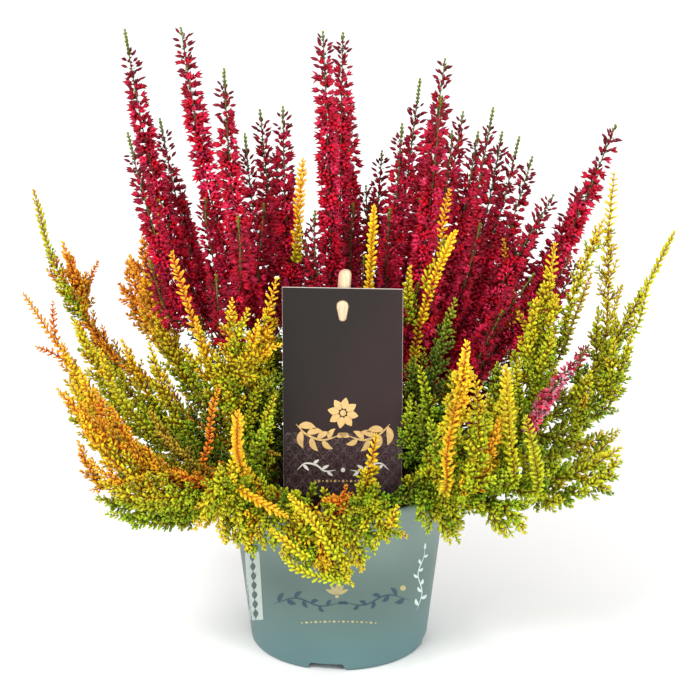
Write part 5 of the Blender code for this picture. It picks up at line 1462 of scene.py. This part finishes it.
def plastic_material():
    mat, tree, shader = new_material("moulded_plastic")
    spot = tree.nodes.new("ShaderNodeTexCoord")
    parts = tree.nodes.new("ShaderNodeSeparateXYZ")
    wire(tree, spot.outputs["Object"], parts.inputs[0])
    level = node(tree, "ShaderNodeMapRange")
    level.inputs["From Min"].default_value = 0.0
    level.inputs["From Max"].default_value = 0.095
    wire(tree, parts.outputs["Z"], level.inputs["Value"])
    tone = ramp(tree, [(0.0, srgb(82, 115, 117)), (0.5, srgb(84, 106, 100)), (1.0, srgb(120, 142, 135))], smooth=True)
    wire(tree, level.outputs["Result"], tone.inputs["Fac"])
    cloud = noise(tree, 38.0, 4.0, 0.55)
    speck = noise(tree, 2600.0, 2.0, 0.6)
    mottle = node(tree, "ShaderNodeMapRange")
    mottle.inputs["To Min"].default_value = 0.93
    mottle.inputs["To Max"].default_value = 1.07
    wire(tree, cloud.outputs["Fac"], mottle.inputs["Value"])
    tinted_tone = node(tree, "ShaderNodeVectorMath", operation="SCALE")
    wire(tree, tone.outputs["Color"], tinted_tone.inputs[0])
    wire(tree, mottle.outputs["Result"], tinted_tone.inputs["Scale"])
    wire(tree, tinted_tone.outputs["Vector"], shader.inputs["Base Color"])
    gloss = node(tree, "ShaderNodeMapRange")
    gloss.inputs["To Min"].default_value = 0.36
    gloss.inputs["To Max"].default_value = 0.52
    wire(tree, cloud.outputs["Fac"], gloss.inputs["Value"])
    wire(tree, gloss.outputs["Result"], shader.inputs["Roughness"])
    bump(tree, shader, speck.outputs["Fac"], 0.25, 0.00005)
    return mat


def build_pot():
    slope = (RIM_RADIUS - FOOT_RADIUS) / POT_HEIGHT

    def outer(z):
        return FOOT_RADIUS + slope * z

    def inner(z):
        return outer(z) - WALL

    lip = outer(POT_HEIGHT) + RIM_LIP
    profile = [
        (CENTRE_HOLE_RADIUS, FLOOR_TOP),
        (inner(FLOOR_TOP) - 1.6, FLOOR_TOP),
        (inner(FLOOR_TOP + 0.5) - 0.6, FLOOR_TOP + 0.45),
        (inner(FLOOR_TOP + 1.6), FLOOR_TOP + 1.6),
        (inner(30.0), 30.0),
        (inner(60.0), 60.0),
        (inner(92.5), 92.5),
        (inner(94.5) + 0.5, 94.5),
        (inner(96.0) + 0.7, 96.3),
        (inner(POT_HEIGHT) + 0.95, POT_HEIGHT - 0.5),
        (inner(POT_HEIGHT) + 1.5, POT_HEIGHT),
        (lip - 0.65, POT_HEIGHT),
        (lip - 0.15, POT_HEIGHT - 0.25),
        (lip, POT_HEIGHT - 0.8),
        (lip, 95.1),
        (lip - 0.2, 94.6),
        (outer(94.4) + RIM_LIP - 0.75, 94.4),
        (outer(94.3) + 0.25, 94.3),
        (outer(93.8), 93.8),
        (outer(60.0), 60.0),
        (outer(30.0), 30.0),
        (outer(2.4), 2.4),
        (outer(1.4) - 0.12, 1.2),
        (outer(0.0) - 0.5, 0.45),
        (outer(0.0) - 1.25, 0.0),
        (FOOT_RING_INNER + 0.8, 0.0),
        (FOOT_RING_INNER + 0.2, 0.2),
        (FOOT_RING_INNER, 0.7),
        (FOOT_RING_INNER - 0.5, FLOOR_UNDERSIDE - 0.8),
        (FOOT_RING_INNER - 1.3, FLOOR_UNDERSIDE),
        (CENTRE_HOLE_RADIUS, FLOOR_UNDERSIDE),
    ]
    points, faces = lathe(profile, 168)
    pot = solid("nursery_pot", points, faces, [plastic_material()])
    cutters = []
    for k in range(DRAIN_HOLES):
        a = math.tau * (k + 0.5) / DRAIN_HOLES
        mesh = bpy.data.meshes.new(f"drain_{k}")
        bm = bmesh.new()
        bmesh.ops.create_cone(
            bm, cap_ends=True, segments=36, radius1=DRAIN_HOLE_RADIUS * MM, radius2=DRAIN_HOLE_RADIUS * MM, depth=8 * MM
        )
        bm.to_mesh(mesh)
        bm.free()
        hole = bpy.data.objects.new(f"drain_{k}", mesh)
        hole.location = (DRAIN_RING_RADIUS * math.cos(a) * MM, DRAIN_RING_RADIUS * math.sin(a) * MM, 6 * MM)
        bpy.context.scene.collection.objects.link(hole)
        cutters.append(hole)
    for k in range(NOTCHES):
        a = math.radians(NOTCH_TURN_DEG) + math.tau * k / NOTCHES
        mesh = bpy.data.meshes.new(f"notch_{k}")
        bm = bmesh.new()
        bmesh.ops.create_cube(bm, size=1.0)
        for v in bm.verts:
            wide = NOTCH_TOP_WIDTH if v.co.z > 0 else NOTCH_BOTTOM_WIDTH * 1.04
            v.co = Vector(
                (v.co.x * wide * MM, (-46.0 + v.co.y * 14.0) * MM, (NOTCH_HEIGHT if v.co.z > 0 else -1.0) * MM)
            )
        upper = [e for e in bm.edges if abs(e.verts[0].co.z - e.verts[1].co.z) < 1e-6 and e.verts[0].co.z > 0
                 and abs(e.verts[0].co.y - e.verts[1].co.y) > 1e-6]
        bmesh.ops.bevel(bm, geom=upper, offset=1.2 * MM, segments=4, affect="EDGES", profile=0.5)
        bm.to_mesh(mesh)
        bm.free()
        notch = bpy.data.objects.new(f"notch_{k}", mesh)
        notch.rotation_euler = (0, 0, a)
        bpy.context.scene.collection.objects.link(notch)
        cutters.append(notch)
    bpy.context.view_layer.update()
    cut_away(pot, cutters)
    finish_piece(pot, ["pot"])


# ------------------------------------------------------------------ print: thin solids that lie on the pot or the card


def on_pot(x, y, lift):
    """Where the sketch's sight line through (x, y) meets the pot's wall, lift millimetres proud of it."""
    tilt = math.radians(SKETCH_TILT_DEG)
    right = (x - SKETCH_MIDDLE) / SKETCH_SCALE
    up = (SKETCH_MIDDLE - y) / SKETCH_SCALE
    d = np.stack([right, math.cos(tilt) + up * math.sin(tilt), -math.sin(tilt) + up * math.cos(tilt)], axis=-1)
    e = np.array(SKETCH_EYE)
    s = (RIM_RADIUS - FOOT_RADIUS) / POT_HEIGHT
    base = FOOT_RADIUS + lift + s * e[2]
    a = d[..., 0] ** 2 + d[..., 1] ** 2 - (s * d[..., 2]) ** 2
    b = e[0] * d[..., 0] + e[1] * d[..., 1] - s * d[..., 2] * base
    c = e[0] ** 2 + e[1] ** 2 - base**2
    k = (-b - np.sqrt(np.maximum(b * b - a * c, 0))) / a
    return e + d * k[..., None]


def on_card(x, y, lift):
    """The same for the card's front face."""
    tilt = math.radians(SKETCH_TILT_DEG)
    right = (x - SKETCH_MIDDLE) / SKETCH_SCALE
    up = (SKETCH_MIDDLE - y) / SKETCH_SCALE
    d = np.stack([right, math.cos(tilt) + up * math.sin(tilt), -math.sin(tilt) + up * math.cos(tilt)], axis=-1)
    e = np.array(SKETCH_EYE)
    yaw = math.radians(CARD_YAW_DEG)
    front = np.array([math.sin(yaw), -math.cos(yaw), 0.0])
    c = np.array(CARD_CENTRE) + front * (CARD_THICK / 2 + lift)
    k = ((c - e) @ front) / (d @ front)
    return e + d * k[..., None]


class Print:
    """Flat printed shapes, each a thin closed solid on a curved or flat face."""

    def __init__(self, place, low=-0.05, high=0.07):
        self.place, self.low, self.high = place, low, high
        self.points, self.faces, self.count = [], [], 0

    def ribbon(self, line, widths, across=2):
        """A band along a line on the sketch, of the given half widths."""
        line = np.asarray(line, float)
        widths = np.maximum(np.broadcast_to(np.asarray(widths, float), len(line)), 0.03)
        ahead = np.gradient(line, axis=0)
        ahead /= np.linalg.norm(ahead, axis=1, keepdims=True) + 1e-9
        side = np.stack([-ahead[:, 1], ahead[:, 0]], axis=1)
        j = np.linspace(-1, 1, across)
        grid = line[:, None, :] + side[:, None, :] * (widths[:, None] * j[None, :])[..., None]
        n, m = len(line), across
        both = [self.place(grid[..., 0], grid[..., 1], lift).reshape(-1, 3) for lift in (self.high, self.low)]
        self.points += [both[0], both[1]]
        top, low = self.count, self.count + n * m
        out = []
        for i in range(n - 1):
            for k in range(m - 1):
                a, b, c, d = i * m + k, i * m + k + 1, (i + 1) * m + k + 1, (i + 1) * m + k
                out += [(top + a, top + b, top + c, top + d), (low + d, low + c, low + b, low + a)]
        rim = [i * m for i in range(n)] + [(n - 1) * m + k for k in range(1, m)]
        rim += [i * m + m - 1 for i in range(n - 2, -1, -1)] + [k for k in range(m - 2, 0, -1)]
        for a, b in zip(rim, rim[1:] + rim[:1]):
            out.append((top + a, top + b, low + b, low + a))
        self.faces += out
        self.count += 2 * n * m

    def curve(self, marks, wide, count=24, pointed=True):
        """A pen stroke through the marks that thins towards its ends."""
        line = through([(x, y, 0) for x, y in marks], count)[:, :2]
        t = np.linspace(0, 1, count)
        shape = np.sin(np.pi * np.clip(t, 0.02, 0.98)) ** 0.6 if pointed else np.ones(count)
        self.ribbon(line, wide * shape)

    def leaf(self, foot, tip, wide, bend=0.0, count=13):
        """A leaf from its foot to its tip, bent to one side."""
        foot, tip = np.asarray(foot, float), np.asarray(tip, float)
        way = tip - foot
        side = np.array([-way[1], way[0]])
        t = np.linspace(0, 1, count)[:, None]
        line = foot + way * t + side * bend * np.sin(np.pi * t)
        shape = np.sin(np.pi * np.linspace(0.02, 0.98, count)) ** 0.8 * (1.25 - 0.5 * np.linspace(0, 1, count))
        self.ribbon(line, wide * shape, 3)

    def dot(self, x, y, rx, ry=None, count=13):
        ry = rx if ry is None else ry
        t = np.linspace(-0.995, 0.995, count)
        self.ribbon(np.stack([x + rx * t, np.full(count, float(y))], axis=1), ry * np.sqrt(1 - t * t), 3)

    def make(self, name, mat, slot):
        ob = solid(name, np.concatenate(self.points), self.faces, [mat], smooth=40)
        return finish_piece(ob, [])


def ink_material(name, colour, rough, metal=0.0, grain=900.0, worn=0.1):
    mat, tree, shader = new_material(name)
    spots = noise(tree, grain, 3.0, 0.6)
    tone = ramp(tree, [(0.3, np.asarray(colour) * (1 - worn)), (0.7, np.asarray(colour) * (1 + worn))])
    wire(tree, spots.outputs["Fac"], tone.inputs["Fac"])
    wire(tree, tone.outputs["Color"], shader.inputs["Base Color"])
    gloss = node(tree, "ShaderNodeMapRange")
    gloss.inputs["To Min"].default_value = rough - 0.08
    gloss.inputs["To Max"].default_value = rough + 0.08
    wire(tree, spots.outputs["Fac"], gloss.inputs["Value"])
    wire(tree, gloss.outputs["Result"], shader.inputs["Roughness"])
    shader.inputs["Metallic"].default_value = metal
    return mat


def sprig(art, marks, leaves_at, size, wide, stroke):
    """A stem with leaves on both sides, along a curve."""
    line = through([(x, y, 0) for x, y in marks], 80)[:, :2]
    art.curve(marks, stroke, 40)
    ahead = np.gradient(line, axis=0)
    ahead /= np.linalg.norm(ahead, axis=1, keepdims=True)
    for k, q in enumerate(leaves_at):
        i = int(q * 79)
        foot, way = line[i], ahead[i]
        side = np.array([-way[1], way[0]]) * (1 if k % 2 else -1)
        grown = size * (1.0 - 0.45 * q)
        tip = foot + (way * 0.75 + side * 0.66) * grown
        art.leaf(foot, tip, wide * (1.0 - 0.35 * q), 0.14 * (1 if k % 2 else -1))
    art.leaf(line[-4], line[-1] + ahead[-1] * size * 0.55, wide * 0.65)


def build_pot_print():
    teal = ink_material("print_teal", srgb(30, 66, 78), 0.42)
    tan = ink_material("print_tan", srgb(172, 160, 112), 0.45)
    white = ink_material("print_white", srgb(196, 212, 208), 0.45)
    panel = ink_material("print_panel", srgb(176, 190, 184), 0.5)
    dark = ink_material("print_dark", srgb(60, 78, 80), 0.5)

    art = Print(on_pot)
    sprig(art, [(273, 604), (296, 598), (320, 606), (340, 603)], [0.1, 0.22, 0.34, 0.46, 0.58, 0.7, 0.82], 11, 2.5, 0.8)
    sprig(art, [(410, 600), (388, 595), (364, 605), (346, 603)], [0.1, 0.22, 0.34, 0.46, 0.58, 0.7, 0.82], 11, 2.5, 0.8)
    art.make("pot_print_sprigs", teal, "pot_plastic")

    art = Print(on_pot)
    for k in range(5):
        a = math.pi * (0.14 + 0.18 * k)
        art.leaf((337, 594), (337 + 12.5 * math.cos(a), 594 - 10.5 * math.sin(a)), 2.0)
    art.dot(337, 596.5, 2.0, 1.6)
    for k in range(17):
        x = 302 + 4.6 * k
        art.dot(x, 621.5 + 0.0010 * (x - 338) ** 2, 1.5 if k % 2 else 0.9, 1.1 if k % 2 else 0.8)
    art.dot(403, 588, 3.0, 2.6)
    art.make("pot_print_buds", tan, "pot_plastic")

    # a pale strip with a chain of lozenges at the left edge
    art = Print(on_pot, -0.05, 0.05)
    t = np.linspace(0, 1, 14)
    art.ribbon(np.stack([252.0 + 4.0 * t, 552 + 68 * t], axis=1), np.full(14, 7.2), 9)
    art.make("pot_print_panel", panel, "pot_plastic")
    art = Print(on_pot, 0.03, 0.1)
    for k in range(7):
        y = 557.5 + 9.4 * k
        x = 252.0 + 4.0 * (y - 552) / 68
        art.leaf((x, y - 4.0), (x, y + 4.0), 2.6)
        art.dot(x, y + 4.9, 0.7, 0.6)
    art.make("pot_print_lozenges", dark, "pot_plastic")

    # a pale climbing sprig at the right edge
    art = Print(on_pot)
    sprig(art, [(417, 610), (422, 592), (418, 574), (424, 556), (425, 547)], [0.08, 0.19, 0.3, 0.41, 0.52, 0.63, 0.74, 0.85], 7.5, 1.7, 0.5)
    art.make("pot_print_climber", white, "pot_plastic")


# ------------------------------------------------------------------ card


def math_node(tree, how, a, b=None, clamp=False):
    made = node(tree, "ShaderNodeMath", operation=how, use_clamp=clamp)
    for socket, value in zip(made.inputs, (a, b)):
        if value is None:
            continue
        if isinstance(value, (int, float)):
            socket.default_value = float(value)
        else:
            wire(tree, value, socket)
    return made.outputs[0]


def card_material():
    """Dark laminated board: a soft cloudy ground, a faint ogee pattern in its lower band and a pale core at its edges."""
    mat, tree, shader = new_material("printed_card")
    spot = tree.nodes.new("ShaderNodeTexCoord")
    parts = tree.nodes.new("ShaderNodeSeparateXYZ")
    wire(tree, spot.outputs["Object"], parts.inputs[0])
    x, z = parts.outputs["X"], parts.outputs["Z"]
    # ground: warm dark grey, darker at the top left, a red tint towards the lower right
    cloud = noise(tree, 26.0, 2.0, 0.5)
    fibre = noise(tree, 3200.0, 2.0, 0.5)
    u = math_node(tree, "MULTIPLY", math_node(tree, "SUBTRACT", x, CARD_CENTRE[0] * MM), 1000.0 / CARD_WIDTH)
    v = math_node(tree, "MULTIPLY", math_node(tree, "SUBTRACT", z, CARD_CENTRE[2] * MM), 1000.0 / CARD_HEIGHT)
    slant = math_node(tree, "ADD", math_node(tree, "MULTIPLY", u, 0.55), math_node(tree, "MULTIPLY", v, -0.75))
    slant = math_node(tree, "ADD", slant, math_node(tree, "MULTIPLY", cloud.outputs["Fac"], 0.5))
    ground = ramp(
        tree,
        [(0.0, srgb(25, 19, 15)), (0.3, srgb(29, 21, 18)), (0.62, srgb(42, 27, 26)), (1.0, srgb(53, 32, 37))],
        smooth=True,
    )
    wire(tree, math_node(tree, "ADD", slant, 0.28), ground.inputs["Fac"])
    # the lower band: pointed ogee cells with a rosette in each, drawn a little unevenly
    sway = noise(tree, 330.0, 2.0, 0.6)
    p = math_node(tree, "ADD", math_node(tree, "MULTIPLY", x, 1000.0 / 7.4), math_node(tree, "MULTIPLY", sway.outputs["Fac"], 0.22))
    q = math_node(tree, "ADD", math_node(tree, "MULTIPLY", z, 1000.0 / 9.2), math_node(tree, "MULTIPLY", sway.outputs["Fac"], 0.3))
    cx = math_node(tree, "COSINE", math_node(tree, "MULTIPLY", p, math.tau))
    cz = math_node(tree, "COSINE", math_node(tree, "MULTIPLY", q, math.tau))
    cell = math_node(tree, "ADD", cx, cz)
    line = math_node(tree, "LESS_THAN", math_node(tree, "ABSOLUTE", cell), 0.34)
    inner = math_node(tree, "LESS_THAN", math_node(tree, "ABSOLUTE", math_node(tree, "SUBTRACT", math_node(tree, "ABSOLUTE", cell), 1.25)), 0.14)
    c2 = math_node(tree, "COSINE", math_node(tree, "MULTIPLY", math_node(tree, "ADD", p, q), math.tau * 1.5))
    c3 = math_node(tree, "COSINE", math_node(tree, "MULTIPLY", math_node(tree, "SUBTRACT", p, q), math.tau * 1.5))
    petals = math_node(tree, "GREATER_THAN", math_node(tree, "MULTIPLY", math_node(tree, "ADD", c2, c3), cell), 1.6)
    figure = math_node(tree, "MAXIMUM", math_node(tree, "MAXIMUM", line, inner), petals)
    edge = math_node(tree, "LESS_THAN", z, (CARD_CENTRE[2] - CARD_HEIGHT / 2 + 36.0) * MM)
    geo = tree.nodes.new("ShaderNodeNewGeometry")
    facing = tree.nodes.new("ShaderNodeSeparateXYZ")
    wire(tree, geo.outputs["Normal"], facing.inputs[0])
    front = math_node(tree, "LESS_THAN", facing.outputs["Y"], -0.7)
    band = math_node(tree, "MULTIPLY", math_node(tree, "MULTIPLY", figure, edge), front)
    lighter = node(tree, "ShaderNodeMix", data_type="RGBA")
    wire(tree, math_node(tree, "MULTIPLY", band, math_node(tree, "MULTIPLY", sway.outputs["Fac"], 1.3)), lighter.inputs["Factor"])
    wire(tree, ground.outputs["Color"], lighter.inputs["A"])
    lighter.inputs["B"].default_value = (*srgb(92, 74, 78), 1)
    rim = math_node(tree, "LESS_THAN", math_node(tree, "ABSOLUTE", facing.outputs["Y"]), 0.8)
    core = node(tree, "ShaderNodeMix", data_type="RGBA")
    wire(tree, rim, core.inputs["Factor"])
    wire(tree, lighter.outputs["Result"], core.inputs["A"])
    core.inputs["B"].default_value = (*srgb(196, 186, 178), 1)
    wire(tree, core.outputs["Result"], shader.inputs["Base Color"])
    gloss = node(tree, "ShaderNodeMapRange")
    gloss.inputs["To Min"].default_value = 0.38
    gloss.inputs["To Max"].default_value = 0.5
    wire(tree, cloud.outputs["Fac"], gloss.inputs["Value"])
    wire(tree, math_node(tree, "ADD", gloss.outputs["Result"], math_node(tree, "MULTIPLY", band, -0.08)), shader.inputs["Roughness"])
    relief = math_node(tree, "ADD", math_node(tree, "MULTIPLY", fibre.outputs["Fac"], 0.3), band)
    bump(tree, shader, relief, 0.2, 0.00004)
    shader.inputs["Specular IOR Level"].default_value = 0.3
    return mat


def build_card_print():
    gold = ink_material("print_gold", srgb(222, 184, 120), 0.36, 0.25, 500.0, 0.12)
    white = ink_material("print_cream", srgb(226, 222, 214), 0.45)
    art = Print(on_card, -0.03, 0.06)
    sprig(art, [(296, 424), (306, 434), (322, 440), (338, 436)], [0.08, 0.2, 0.32, 0.44, 0.56, 0.68, 0.8], 19, 3.6, 1.1)
    sprig(art, [(390, 424), (380, 434), (364, 440), (348, 436)], [0.08, 0.2, 0.32, 0.44, 0.56, 0.68, 0.8], 19, 3.6, 1.1)
    # a round blossom between them
    for k in range(8):
        a = math.tau * k / 8 + 0.2
        art.leaf((343 + 4.0 * math.cos(a), 413 + 4.0 * math.sin(a)), (343 + 15.5 * math.cos(a), 413 + 15.5 * math.sin(a)), 3.8)
    art.dot(343, 413, 3.0, 3.0)
    for k in range(15):
        art.dot(315 + 4.0 * k, 481.0, 1.3 if k % 2 else 0.8)
    art.make("card_print_sprigs", gold, "card")
    art = Print(on_card, -0.03, 0.06)
    for s in (1, -1):
        art.curve([(343 - 46 * s, 470), (343 - 38 * s, 463.5), (343 - 27 * s, 465), (343 - 18 * s, 471), (343 - 7 * s, 470)], 0.95, 40)
        art.leaf((343 - 40 * s, 464.4), (343 - 34 * s, 470.5), 1.5)
        art.leaf((343 - 30 * s, 464.0), (343 - 24 * s, 459.5), 1.5)
        art.leaf((343 - 21 * s, 469.0), (343 - 14 * s, 465.0), 1.5)
        art.leaf((343 - 16 * s, 471.5), (343 - 10 * s, 476.0), 1.4)
    art.dot(343, 470, 2.2)
    art.make("card_print_flourish", white, "card")
    for item in bpy.data.objects["label_card"].material_slots:
        item.material = card_material()


# ------------------------------------------------------------------ stick


def wood_material():
    mat, tree, shader = new_material("pale_wood")
    grain = noise(tree, 900.0, 5.0, 0.6, stretch=(1.0, 1.0, 0.045))
    streak = noise(tree, 260.0, 3.0, 0.5, stretch=(1.0, 1.0, 0.06))
    tone = ramp(tree, [(0.25, srgb(182, 152, 114)), (0.5, srgb(212, 190, 154)), (0.75, srgb(228, 212, 182))])
    wire(tree, grain.outputs["Fac"], tone.inputs["Fac"])
    pink = node(tree, "ShaderNodeMix", data_type="RGBA")
    some = ramp(tree, [(0.52, (0, 0, 0)), (0.7, (0.55, 0.55, 0.55))])
    wire(tree, streak.outputs["Fac"], some.inputs["Fac"])
    wire(tree, some.outputs["Color"], pink.inputs["Factor"])
    wire(tree, tone.outputs["Color"], pink.inputs["A"])
    pink.inputs["B"].default_value = (*srgb(196, 144, 124), 1)
    wire(tree, pink.outputs["Result"], shader.inputs["Base Color"])
    shader.inputs["Roughness"].default_value = 0.6
    bump(tree, shader, grain.outputs["Fac"], 0.5, 0.00015)
    return mat


def stake_axis(z):
    return np.array([CARD_CENTRE[0] + STAKE_LEAN * (z - NIB_HEIGHT_ON_STAKE), STAKE_Y, z])


def build_stake():
    rings = [
        (STAKE_BOTTOM, 0.25), (STAKE_BOTTOM + 0.5, 0.8), (STAKE_BOTTOM + 3.0, 1.7), (STAKE_BOTTOM + 6.5, 2.7),
        (STAKE_BOTTOM + 9.5, 3.3), (STAKE_BOTTOM + 12.0, STAKE_RADIUS), (80.0, STAKE_RADIUS), (110.0, STAKE_RADIUS),
        (140.0, STAKE_RADIUS), (170.0, STAKE_RADIUS), (200.0, STAKE_RADIUS), (STAKE_TOP - 3.4, STAKE_RADIUS),
        (STAKE_TOP - 2.0, STAKE_RADIUS - 0.15), (STAKE_TOP - 0.9, STAKE_RADIUS - 0.65), (STAKE_TOP - 0.25, STAKE_RADIUS - 1.4),
        (STAKE_TOP, STAKE_RADIUS - 2.4),
    ]
    sides = 32
    points, faces = [stake_axis(STAKE_BOTTOM)], []
    for z, r in rings:
        c = stake_axis(z)
        for s in range(sides):
            a = math.tau * s / sides
            points.append((c[0] + r * math.cos(a), c[1] + r * math.sin(a), z))
    points.append(stake_axis(STAKE_TOP))
    for s in range(sides):
        t = (s + 1) % sides
        faces.append((0, 1 + t, 1 + s))
        for k in range(len(rings) - 1):
            a, b = 1 + k * sides, 1 + (k + 1) * sides
            faces.append((a + s, a + t, b + t, b + s))
        top = 1 + (len(rings) - 1) * sides
        faces.append((top + s, top + t, len(points) - 1))
    wood = wood_material()
    stake = solid("label_stick", points, faces, [wood], smooth=40)

    # the drop-shaped nub that holds the card, with a domed face
    front = CARD_CENTRE[1] - CARD_THICK / 2 - NIB_PROUD
    layers = [(STAKE_Y, 1.0), (front + 0.7, 1.0), (front + 0.3, 0.95), (front + 0.06, 0.82), (front, 0.6)]
    steps = 14
    high = NIB_LENGTH / 2 - NIB_TOP_RADIUS
    low = -NIB_LENGTH / 2 + NIB_LOW_RADIUS
    lean = math.asin((NIB_TOP_RADIUS - NIB_LOW_RADIUS) / (high - low))
    ring = []
    for k in range(steps + 1):
        a = -lean + (math.pi + 2 * lean) * k / steps
        ring.append((NIB_TOP_RADIUS * math.cos(a), high + NIB_TOP_RADIUS * math.sin(a)))
    for k in range(steps + 1):
        a = math.pi + lean + (math.pi - 2 * lean) * k / steps
        ring.append((NIB_LOW_RADIUS * math.cos(a), low + NIB_LOW_RADIUS * math.sin(a)))
    points, faces = [], []
    n = len(ring)
    for y, share in layers:
        points += [(CARD_CENTRE[0] + u * share, y, NIB_HEIGHT_ON_STAKE + v * (0.5 + 0.5 * share) * share**0.2) for u, v in ring]
    for k in range(len(layers) - 1):
        for s in range(n):
            t = (s + 1) % n
            faces.append((k * n + s, k * n + t, (k + 1) * n + t, (k + 1) * n + s))
    faces.append(tuple(range(n)))
    last = (len(layers) - 1) * n
    points.append((CARD_CENTRE[0], front - 0.02, NIB_HEIGHT_ON_STAKE))
    for s in range(n):
        faces.append((last + s, last + (s + 1) % n, len(points) - 1))
    nub = solid("label_stick_nub", points, faces, [wood], smooth=40)
    finish_piece(stake, ["label_stake"])
    finish_piece(nub, [])


# ------------------------------------------------------------------ peat


def peat_material():
    mat, tree, shader = new_material("peat_crumb")
    fine = noise(tree, 900.0, 6.0, 0.7)
    coarse = noise(tree, 160.0, 4.0, 0.6)
    tone = ramp(tree, [(0.25, srgb(38, 26, 20)), (0.5, srgb(66, 46, 34)), (0.72, srgb(104, 78, 58)), (1.0, srgb(140, 116, 92))])
    wire(tree, fine.outputs["Fac"], tone.inputs["Fac"])
    wire(tree, tone.outputs["Color"], shader.inputs["Base Color"])
    shader.inputs["Roughness"].default_value = 0.95
    both = math_node(tree, "ADD", fine.outputs["Fac"], coarse.outputs["Fac"])
    bump(tree, shader, both, 0.8, 0.0012)
    return mat


def build_peat():
    slope = (RIM_RADIUS - FOOT_RADIUS) / POT_HEIGHT

    def edge(z):
        return FOOT_RADIUS + slope * z - WALL - GAP - 0.1

    rng = np.random.default_rng(77)
    sides = 96
    rings = []
    for r in np.linspace(2.0, edge(SOIL_TOP) - 0.4, 26):
        rings.append((r, SOIL_TOP - 0.6 - 2.0 * max(0, (r - 50) / 10) ** 2, 1.0))
    for z in (82.0, 60.0, 35.0, 12.0, FLOOR_TOP + 1.0):
        rings.append((edge(z) - 0.3, z, 0.15))
    rings.append((edge(FLOOR_TOP) - 3.0, FLOOR_TOP + GAP, 0.0))
    phase = rng.uniform(0, math.tau, (12, 3))
    wave = rng.uniform(0.15, 0.9, (12, 2))
    points, faces = [(0.0, 0.0, SOIL_TOP - 1.2)], []
    for r, z, rough in rings:
        for s in range(sides):
            a = math.tau * s / sides
            x, y = r * math.cos(a), r * math.sin(a)
            lump = sum(math.sin(w[0] * x + p[0]) * math.sin(w[1] * y + p[1]) for w, p in zip(wave, phase)) / 4
            grit = rng.uniform(-0.35, 0.3)
            down = min(0.0, -0.9 + 0.9 * lump + grit) if rough == 1.0 else 0.0
            inward = 1.0 - 0.004 * rng.uniform(0, 1) * (rough > 0)
            points.append((x * inward, y * inward, z + down * (rough == 1.0)))
    points.append((0.0, 0.0, FLOOR_TOP + GAP))
    for s in range(sides):
        t = (s + 1) % sides
        faces.append((0, 1 + s, 1 + t))
        for k in range(len(rings) - 1):
            a, b = 1 + k * sides, 1 + (k + 1) * sides
            faces.append((a + s, b + s, b + t, a + t))
        low = 1 + (len(rings) - 1) * sides
        faces.append((low + s, len(points) - 1, low + t))
    ball = solid("peat_ball", points, faces, [peat_material()])
    finish_piece(ball, ["peat_root_ball"])
    crumbs = Piece("peat_crumbs")
    n = 500
    r = 55.0 * np.sqrt(rng.uniform(0.0, 1.0, n))
    a = rng.uniform(0, math.tau, n)
    size = rng.uniform(0.8, 2.4, (n, 1)) * rng.uniform(0.7, 1.3, (n, 3))
    at = np.stack([r * np.cos(a), r * np.sin(a), SOIL_TOP - 1.6 - 0.3 * size[:, 2]], axis=1)
    heading = unit(rng.normal(0, 1, (n, 3)) + np.array([0, 0, 0.8]))
    shade = srgb(96, 70, 50) * rng.uniform(0.4, 1.5, (n, 1))
    points, faces, tone = FORMS["crumb"]
    world = np.einsum("kij,knj->kni", frames(heading, rng.normal(0, 1, (n, 3))), points[None] * size[:, None, :]) + at[:, None]
    index = faces[None] + (np.arange(n) * len(points))[:, None, None]
    crumbs.put(world.reshape(-1, 3), index.reshape(-1, 3), np.repeat(shade, len(points), axis=0), STEM_SLOT)
    crumbs.make([], "peat")


# ------------------------------------------------------------------ floor, light and camera


def build_studio():
    scene = bpy.context.scene
    mesh = bpy.data.meshes.new("studio_floor")
    mesh.from_pydata([(-9, -9, 0), (9, -9, 0), (9, 14, 0), (-9, 14, 0)], [], [(0, 1, 2, 3)])
    mat, tree, shader = new_material("studio_paper")
    shader.inputs["Base Color"].default_value = (0.9, 0.9, 0.9, 1)
    shader.inputs["Roughness"].default_value = 0.9
    shader.inputs["Specular IOR Level"].default_value = 0.1
    mesh.materials.append(mat)
    floor = bpy.data.objects.new("studio_floor", mesh)
    scene.collection.objects.link(floor)

    world = bpy.data.worlds.new("studio_world")
    world.use_nodes = True
    back = world.node_tree.nodes["Background"]
    back.inputs["Color"].default_value = (1.0, 1.0, 1.0, 1)
    back.inputs["Strength"].default_value = WORLD
    scene.world = world

    def lamp(name, place, aim, size, power, colour=(1, 1, 1)):
        light = bpy.data.lights.new(name, "AREA")
        light.shape = "DISK"
        light.size = size
        light.energy = power
        light.color = colour
        ob = bpy.data.objects.new(name, light)
        ob.location = place
        ob.rotation_euler = (Vector(aim) - Vector(place)).to_track_quat("-Z", "Y").to_euler()
        scene.collection.objects.link(ob)

    lamp("key_light", (-1.0, -1.5, 1.9), (0, 0, 0.16), 0.7, KEY)
    lamp("fill_light", (1.5, -1.3, 0.9), (0, 0, 0.16), 1.0, FILL)

    camera = bpy.data.cameras.new("front_camera")
    camera.lens = 162.8
    camera.sensor_width = 36.0
    camera.clip_end = 60.0
    eye = bpy.data.objects.new("front_camera", camera)
    eye.location = (SKETCH_EYE[0] * MM, SKETCH_EYE[1] * MM, SKETCH_EYE[2] * MM)
    eye.rotation_euler = (math.radians(90 - SKETCH_TILT_DEG), 0, 0)
    scene.collection.objects.link(eye)
    scene.camera = eye
    scene.view_settings.view_transform = "Standard"
    scene.view_settings.look = "None"


WORLD, KEY, FILL = 1.12, 36.0, 16.0

build_studio()
build_plants()
build_fringe()
build_crowns()
build_pot()
build_pot_print()
build_card_print()
build_stake()
build_peat()
